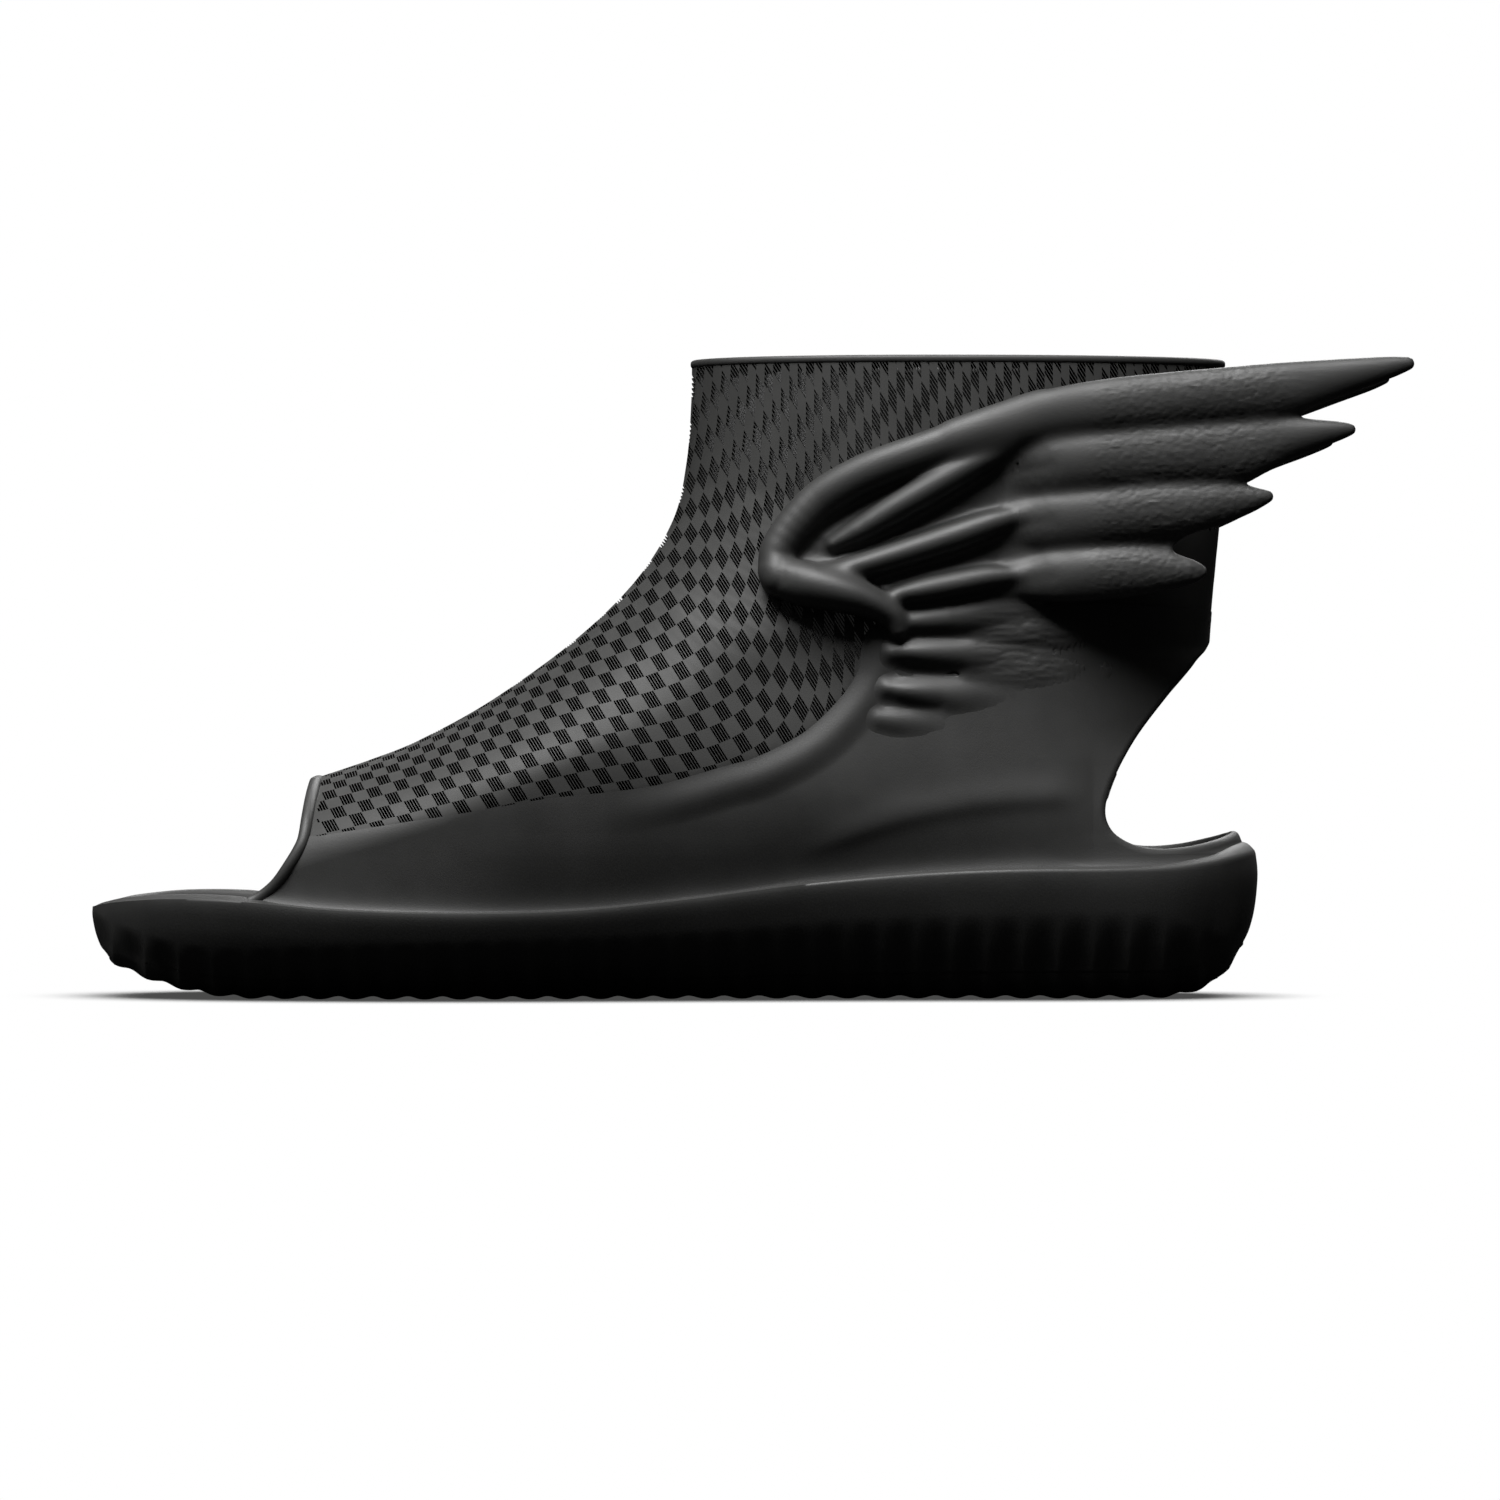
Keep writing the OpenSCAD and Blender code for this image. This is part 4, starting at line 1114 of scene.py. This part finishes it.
def surface_nets(field, low, step):
    """Closed quad mesh of the zero level of a sampled field."""
    inside = field < 0
    n = np.array(field.shape)
    c = [slice(0, -1), slice(1, None)]
    total = sum(inside[c[i], c[j], c[k]].astype(np.int8) for i in (0, 1) for j in (0, 1) for k in (0, 1))
    active = (total > 0) & (total < 8)
    index = np.full(active.shape, -1)
    index[active] = np.arange(active.sum())
    cell = np.argwhere(active)
    place = np.zeros((len(cell), 3))
    hits = np.zeros(len(cell))
    for axis in range(3):
        for u in (0, 1):
            for w in (0, 1):
                start = np.insert([u, w], axis, 0)
                stop = np.insert([u, w], axis, 1)
                fa = field[tuple((cell + start).T)]
                fb = field[tuple((cell + stop).T)]
                m = (fa < 0) != (fb < 0)
                t = fa[m] / (fa[m] - fb[m])
                place[m] += start + (stop - start) * t[:, None]
                hits[m] += 1
    verts = (cell + place / hits[:, None]) * step + low
    quads = []
    for axis in range(3):
        u, w = [k for k in range(3) if k != axis]
        a = [slice(1, n[k] - 1) for k in range(3)]
        a[axis] = slice(0, n[axis] - 1)
        b = list(a)
        b[axis] = slice(1, n[axis])
        ia, ib = inside[tuple(a)], inside[tuple(b)]
        at = np.argwhere(ia != ib)
        at[:, u] += 1
        at[:, w] += 1
        out = ia[tuple((at - np.where(np.arange(3) == axis, 0, 1)).T)]
        corners = []
        for du, dw in ((-1, -1), (0, -1), (0, 0), (-1, 0)):
            q = at.copy()
            q[:, u] += du
            q[:, w] += dw
            corners.append(index[tuple(q.T)])
        q = np.stack(corners, axis=1)
        flip = out if axis != 1 else ~out
        q[~flip] = q[~flip][:, ::-1]
        quads.append(q)
    return verts, np.vstack(quads)


def sample(field, low, step, points):
    """Trilinear value of a sampled field."""
    g = (points - low) / step
    i = np.clip(np.floor(g).astype(int), 0, np.array(field.shape) - 2)
    t = g - i
    out = np.zeros(len(points))
    for du in (0, 1):
        for dv in (0, 1):
            for dw in (0, 1):
                corner = np.array([du, dv, dw])
                w = np.where(corner, t, 1 - t).prod(axis=1)
                out += w * field[tuple((i + corner).T)]
    return out


def slope(field, low, step, points):
    g = np.zeros_like(points)
    for k in range(3):
        d = np.zeros(3)
        d[k] = step * 0.75
        g[:, k] = (sample(field, low, step, points + d) - sample(field, low, step, points - d)) / (1.5 * step)
    return g


def cell_noise(points, size, seed):
    """Distance to the nearest of a jittered set of points, and that point's own random number."""
    p = points / size
    base = np.floor(p).astype(int)
    best = np.full(len(p), 9.0)
    second = np.full(len(p), 9.0)
    tag = np.zeros(len(p))
    for du in (-1, 0, 1):
        for dw in (-1, 0, 1):
            c = base + np.array([du, dw])
            h = (c[:, 0] * 73856093 ^ c[:, 1] * 19349663 ^ seed * 83492791) & 0x7FFFFFFF
            r1 = ((h * 1103515245 + 12345) & 0x7FFFFFFF) / 0x7FFFFFFF
            r2 = ((h * 22695477 + 1) & 0x7FFFFFFF) / 0x7FFFFFFF
            r3 = ((h * 69069 + 5) & 0x7FFFFFFF) / 0x7FFFFFFF
            d = np.hypot(c[:, 0] + r1 - p[:, 0], c[:, 1] + r2 - p[:, 1])
            near = d < best
            second = np.where(near, best, np.minimum(second, d))
            tag = np.where(near, r3, tag)
            best = np.where(near, d, best)
    return best, second, tag


def wing_piece(wing, name, cut, material):
    """One part of the wing, cut from the field, with its edges drawn sharp at the cut.

    The free feathers get shallow flakes, and the shell below the wing gets fine ripples.
    """
    low, step = wing.low, wing.step
    field = np.maximum(wing.field, cut(wing.x, wing.z)[:, None, :])
    verts, quads = surface_nets(field, low, step)
    edge = cut(verts[:, 0], verts[:, 2])
    value = sample(wing.field, low, step, verts)
    skin_side = np.abs(value) < step * 0.8
    on_split = (np.abs(verts[:, 0] - SPLIT_X) < step * 0.75) & (verts[:, 2] > SPLIT_Z - step)
    on_shelf = (np.abs(verts[:, 2] - SPLIT_Z) < step * 0.75) & (verts[:, 0] > SPLIT_X - step) & (edge > -step)
    verts[on_split, 0] = SPLIT_X
    verts[on_shelf & ~on_split, 2] = SPLIT_Z
    for _ in range(3):
        value = sample(wing.field, low, step, verts)
        g = slope(wing.field, low, step, verts)
        g[on_split, 0] = 0
        g[on_shelf & ~on_split, 2] = 0
        move = np.clip(value / np.maximum((g**2).sum(axis=1), 0.2), -step, step)
        verts = np.where(skin_side[:, None], verts - g * move[:, None], verts)
    g = slope(wing.field, low, step, verts)
    normals = g / np.maximum(np.linalg.norm(g, axis=1), 1e-6)[:, None]
    normals[~skin_side] = 0
    x, z = verts[:, 0], verts[:, 2]
    outward = smooth(0.0, 0.5, normals[:, 1])
    zone = smooth(99, 112, x) * (1 - smooth(146, 160, x)) * outward * (z > 100)
    d1, d2, tag = cell_noise(np.column_stack([x, z + 0.1 * x]) / np.array([2.6, 1.15]), 1.0, 7)
    flake = smooth(0.02, 0.3, d2 - d1) * (0.4 + 0.6 * tag)
    r1, r2, _ = cell_noise(np.column_stack([x + 1.5 * np.sin(z), z]) / np.array([11, 1.7]), 1.0, 3)
    ripple = smooth(72, 84, x) * (1 - smooth(98, 110, x)) * outward
    ripple *= smooth(77, 82, z) * (1 - smooth(95, 99, z))
    relief = zone * (flake - 0.5) * FLAKE_DEPTH + ripple * (smooth(0, 0.25, r2 - r1) - 1) * RIPPLE_DEPTH
    verts = verts + normals * relief[:, None]
    verts[:, 1] *= wing.side
    normals[:, 1] *= wing.side
    quads = quads if wing.side == MEDIAL else quads[:, ::-1]
    return add_piece(name, verts, quads, material, sharp=62)


wing_step = 0.5 if FINE else 0.8
for side, word in ((LATERAL, "lateral"), (MEDIAL, "medial")):
    wing = Wing(side, wing_step).build()
    coverts = wing_piece(wing, "wing_coverts_%s_form" % word,
                         lambda x, z: np.where(z > SPLIT_Z, x - SPLIT_X, -9.0), feather_skin)
    primaries = wing_piece(wing, "wing_primaries_%s_form" % word,
                           lambda x, z: np.maximum(SPLIT_X - x, SPLIT_Z - z), feather_skin)
    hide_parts("wing_coverts_%s" % word)
    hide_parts("wing_primaries_%s" % word)
    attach(coverts, "shoe")
    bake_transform(primaries)

# ---------------------------------------------------------------- motion
for piece in (lattice, shell, collar_rim, toe_rim):
    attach(piece, "shoe")
for piece in (tread, midsole, footbed):
    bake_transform(piece)

# ---------------------------------------------------------------- studio
floor_mesh = bpy.data.meshes.new("studio_floor")
FLOOR_REACH = 6.0                 # metres
corners = [(-1, -1), (1, -1), (1, 1), (-1, 1)]
floor_mesh.from_pydata([(a * FLOOR_REACH, b * FLOOR_REACH, 0) for a, b in corners], [], [(0, 1, 2, 3)])
floor = bpy.data.objects.new("studio_floor", floor_mesh)
floor.location.z = -0.0002
bpy.context.scene.collection.objects.link(floor)
# The floor shows emitted white to camera rays, with a painted contact shadow: ambient occlusion darkens the
# emitted white near the shoe. Other rays see a near-black diffuse floor.
g = Graph("floor_paper")
occ = g.node("ShaderNodeAmbientOcclusion", samples=8)
occ.inputs["Distance"].default_value = 0.03
shade = g.ramp(occ.outputs["AO"], 0.25, 0.92, 0.05, 1.0)
glow = g.node("ShaderNodeEmission")
g.put(glow.inputs["Color"], g.mix(shade, grey(0.02), (1, 1, 1, 1)))
paper = g.node("ShaderNodeBsdfDiffuse")
paper.inputs["Color"].default_value = (0.01, 0.01, 0.01, 1)
path = g.node("ShaderNodeLightPath")
pick = g.node("ShaderNodeMixShader")
g.tree.links.new(path.outputs["Is Camera Ray"], pick.inputs[0])
g.tree.links.new(paper.outputs[0], pick.inputs[1])
g.tree.links.new(glow.outputs[0], pick.inputs[2])
g.tree.links.new(pick.outputs[0], g.out.inputs[0])
floor_mesh.materials.append(g.material)


def area_light(name, place, target, size, power):
    data = bpy.data.lights.new(name, "AREA")
    data.shape = "RECTANGLE"
    data.size, data.size_y = size
    data.energy = power
    ob = bpy.data.objects.new(name, data)
    ob.location = place
    direction = np.array(target) - np.array(place)
    ob.rotation_euler = Vector(direction).to_track_quat("-Z", "Y").to_euler()
    bpy.context.scene.collection.objects.link(ob)


area_light("overhead_softbox", (-0.3, -0.7, 1.7), (0.02, 0, 0.08), (1.1, 0.9), 92)
area_light("toe_side_softbox", (-1.5, -0.4, 1.45), (0.02, 0, 0.1), (0.9, 0.9), 2)
area_light("far_side_softbox", (0.5, 1.5, 1.3), (0.02, 0, 0.08), (1.2, 1.0), 26)

world = bpy.data.worlds.new("studio")
bpy.context.scene.world = world
world.use_nodes = True
wt = world.node_tree
wt.nodes.clear()


def world_node(kind, **values):
    n = wt.nodes.new(kind)
    for key, value in values.items():
        setattr(n, key, value)
    return n


def join(a, b):
    wt.links.new(a, b)


w_out, w_mix = world_node("ShaderNodeOutputWorld"), world_node("ShaderNodeMixShader")
w_path, w_geo = world_node("ShaderNodeLightPath"), world_node("ShaderNodeTexCoord")
w_split = world_node("ShaderNodeSeparateXYZ")
w_up = world_node("ShaderNodeMapRange", interpolation_type="SMOOTHSTEP")
w_up.inputs["From Min"].default_value = 0.0
w_up.inputs["From Max"].default_value = 1.0
w_up.inputs["To Max"].default_value = 0.08
w_seen, w_fill = world_node("ShaderNodeBackground"), world_node("ShaderNodeBackground")
w_seen.inputs[0].default_value = (1, 1, 1, 1)
w_fill.inputs[0].default_value = (1, 1, 1, 1)
join(w_geo.outputs["Generated"], w_split.inputs[0])
join(w_split.outputs[2], w_up.inputs["Value"])
join(w_up.outputs[0], w_fill.inputs[1])
join(w_path.outputs["Is Camera Ray"], w_mix.inputs[0])
join(w_fill.outputs[0], w_mix.inputs[1])
join(w_seen.outputs[0], w_mix.inputs[2])
join(w_mix.outputs[0], w_out.inputs[0])

cam_data = bpy.data.cameras.new("camera")
cam_data.sensor_width = 36
cam_data.lens = 198.6             # millimetres; the camera stands 2.1 m to the lateral side
cam_data.clip_end = 50
cam = bpy.data.objects.new("camera", cam_data)
cam.location = (0.01954, -2.1, 0.0622)
cam.rotation_euler = (math.radians(90), 0, 0)
bpy.context.scene.collection.objects.link(cam)
bpy.context.scene.camera = cam
bpy.context.scene.view_settings.view_transform = "Standard"
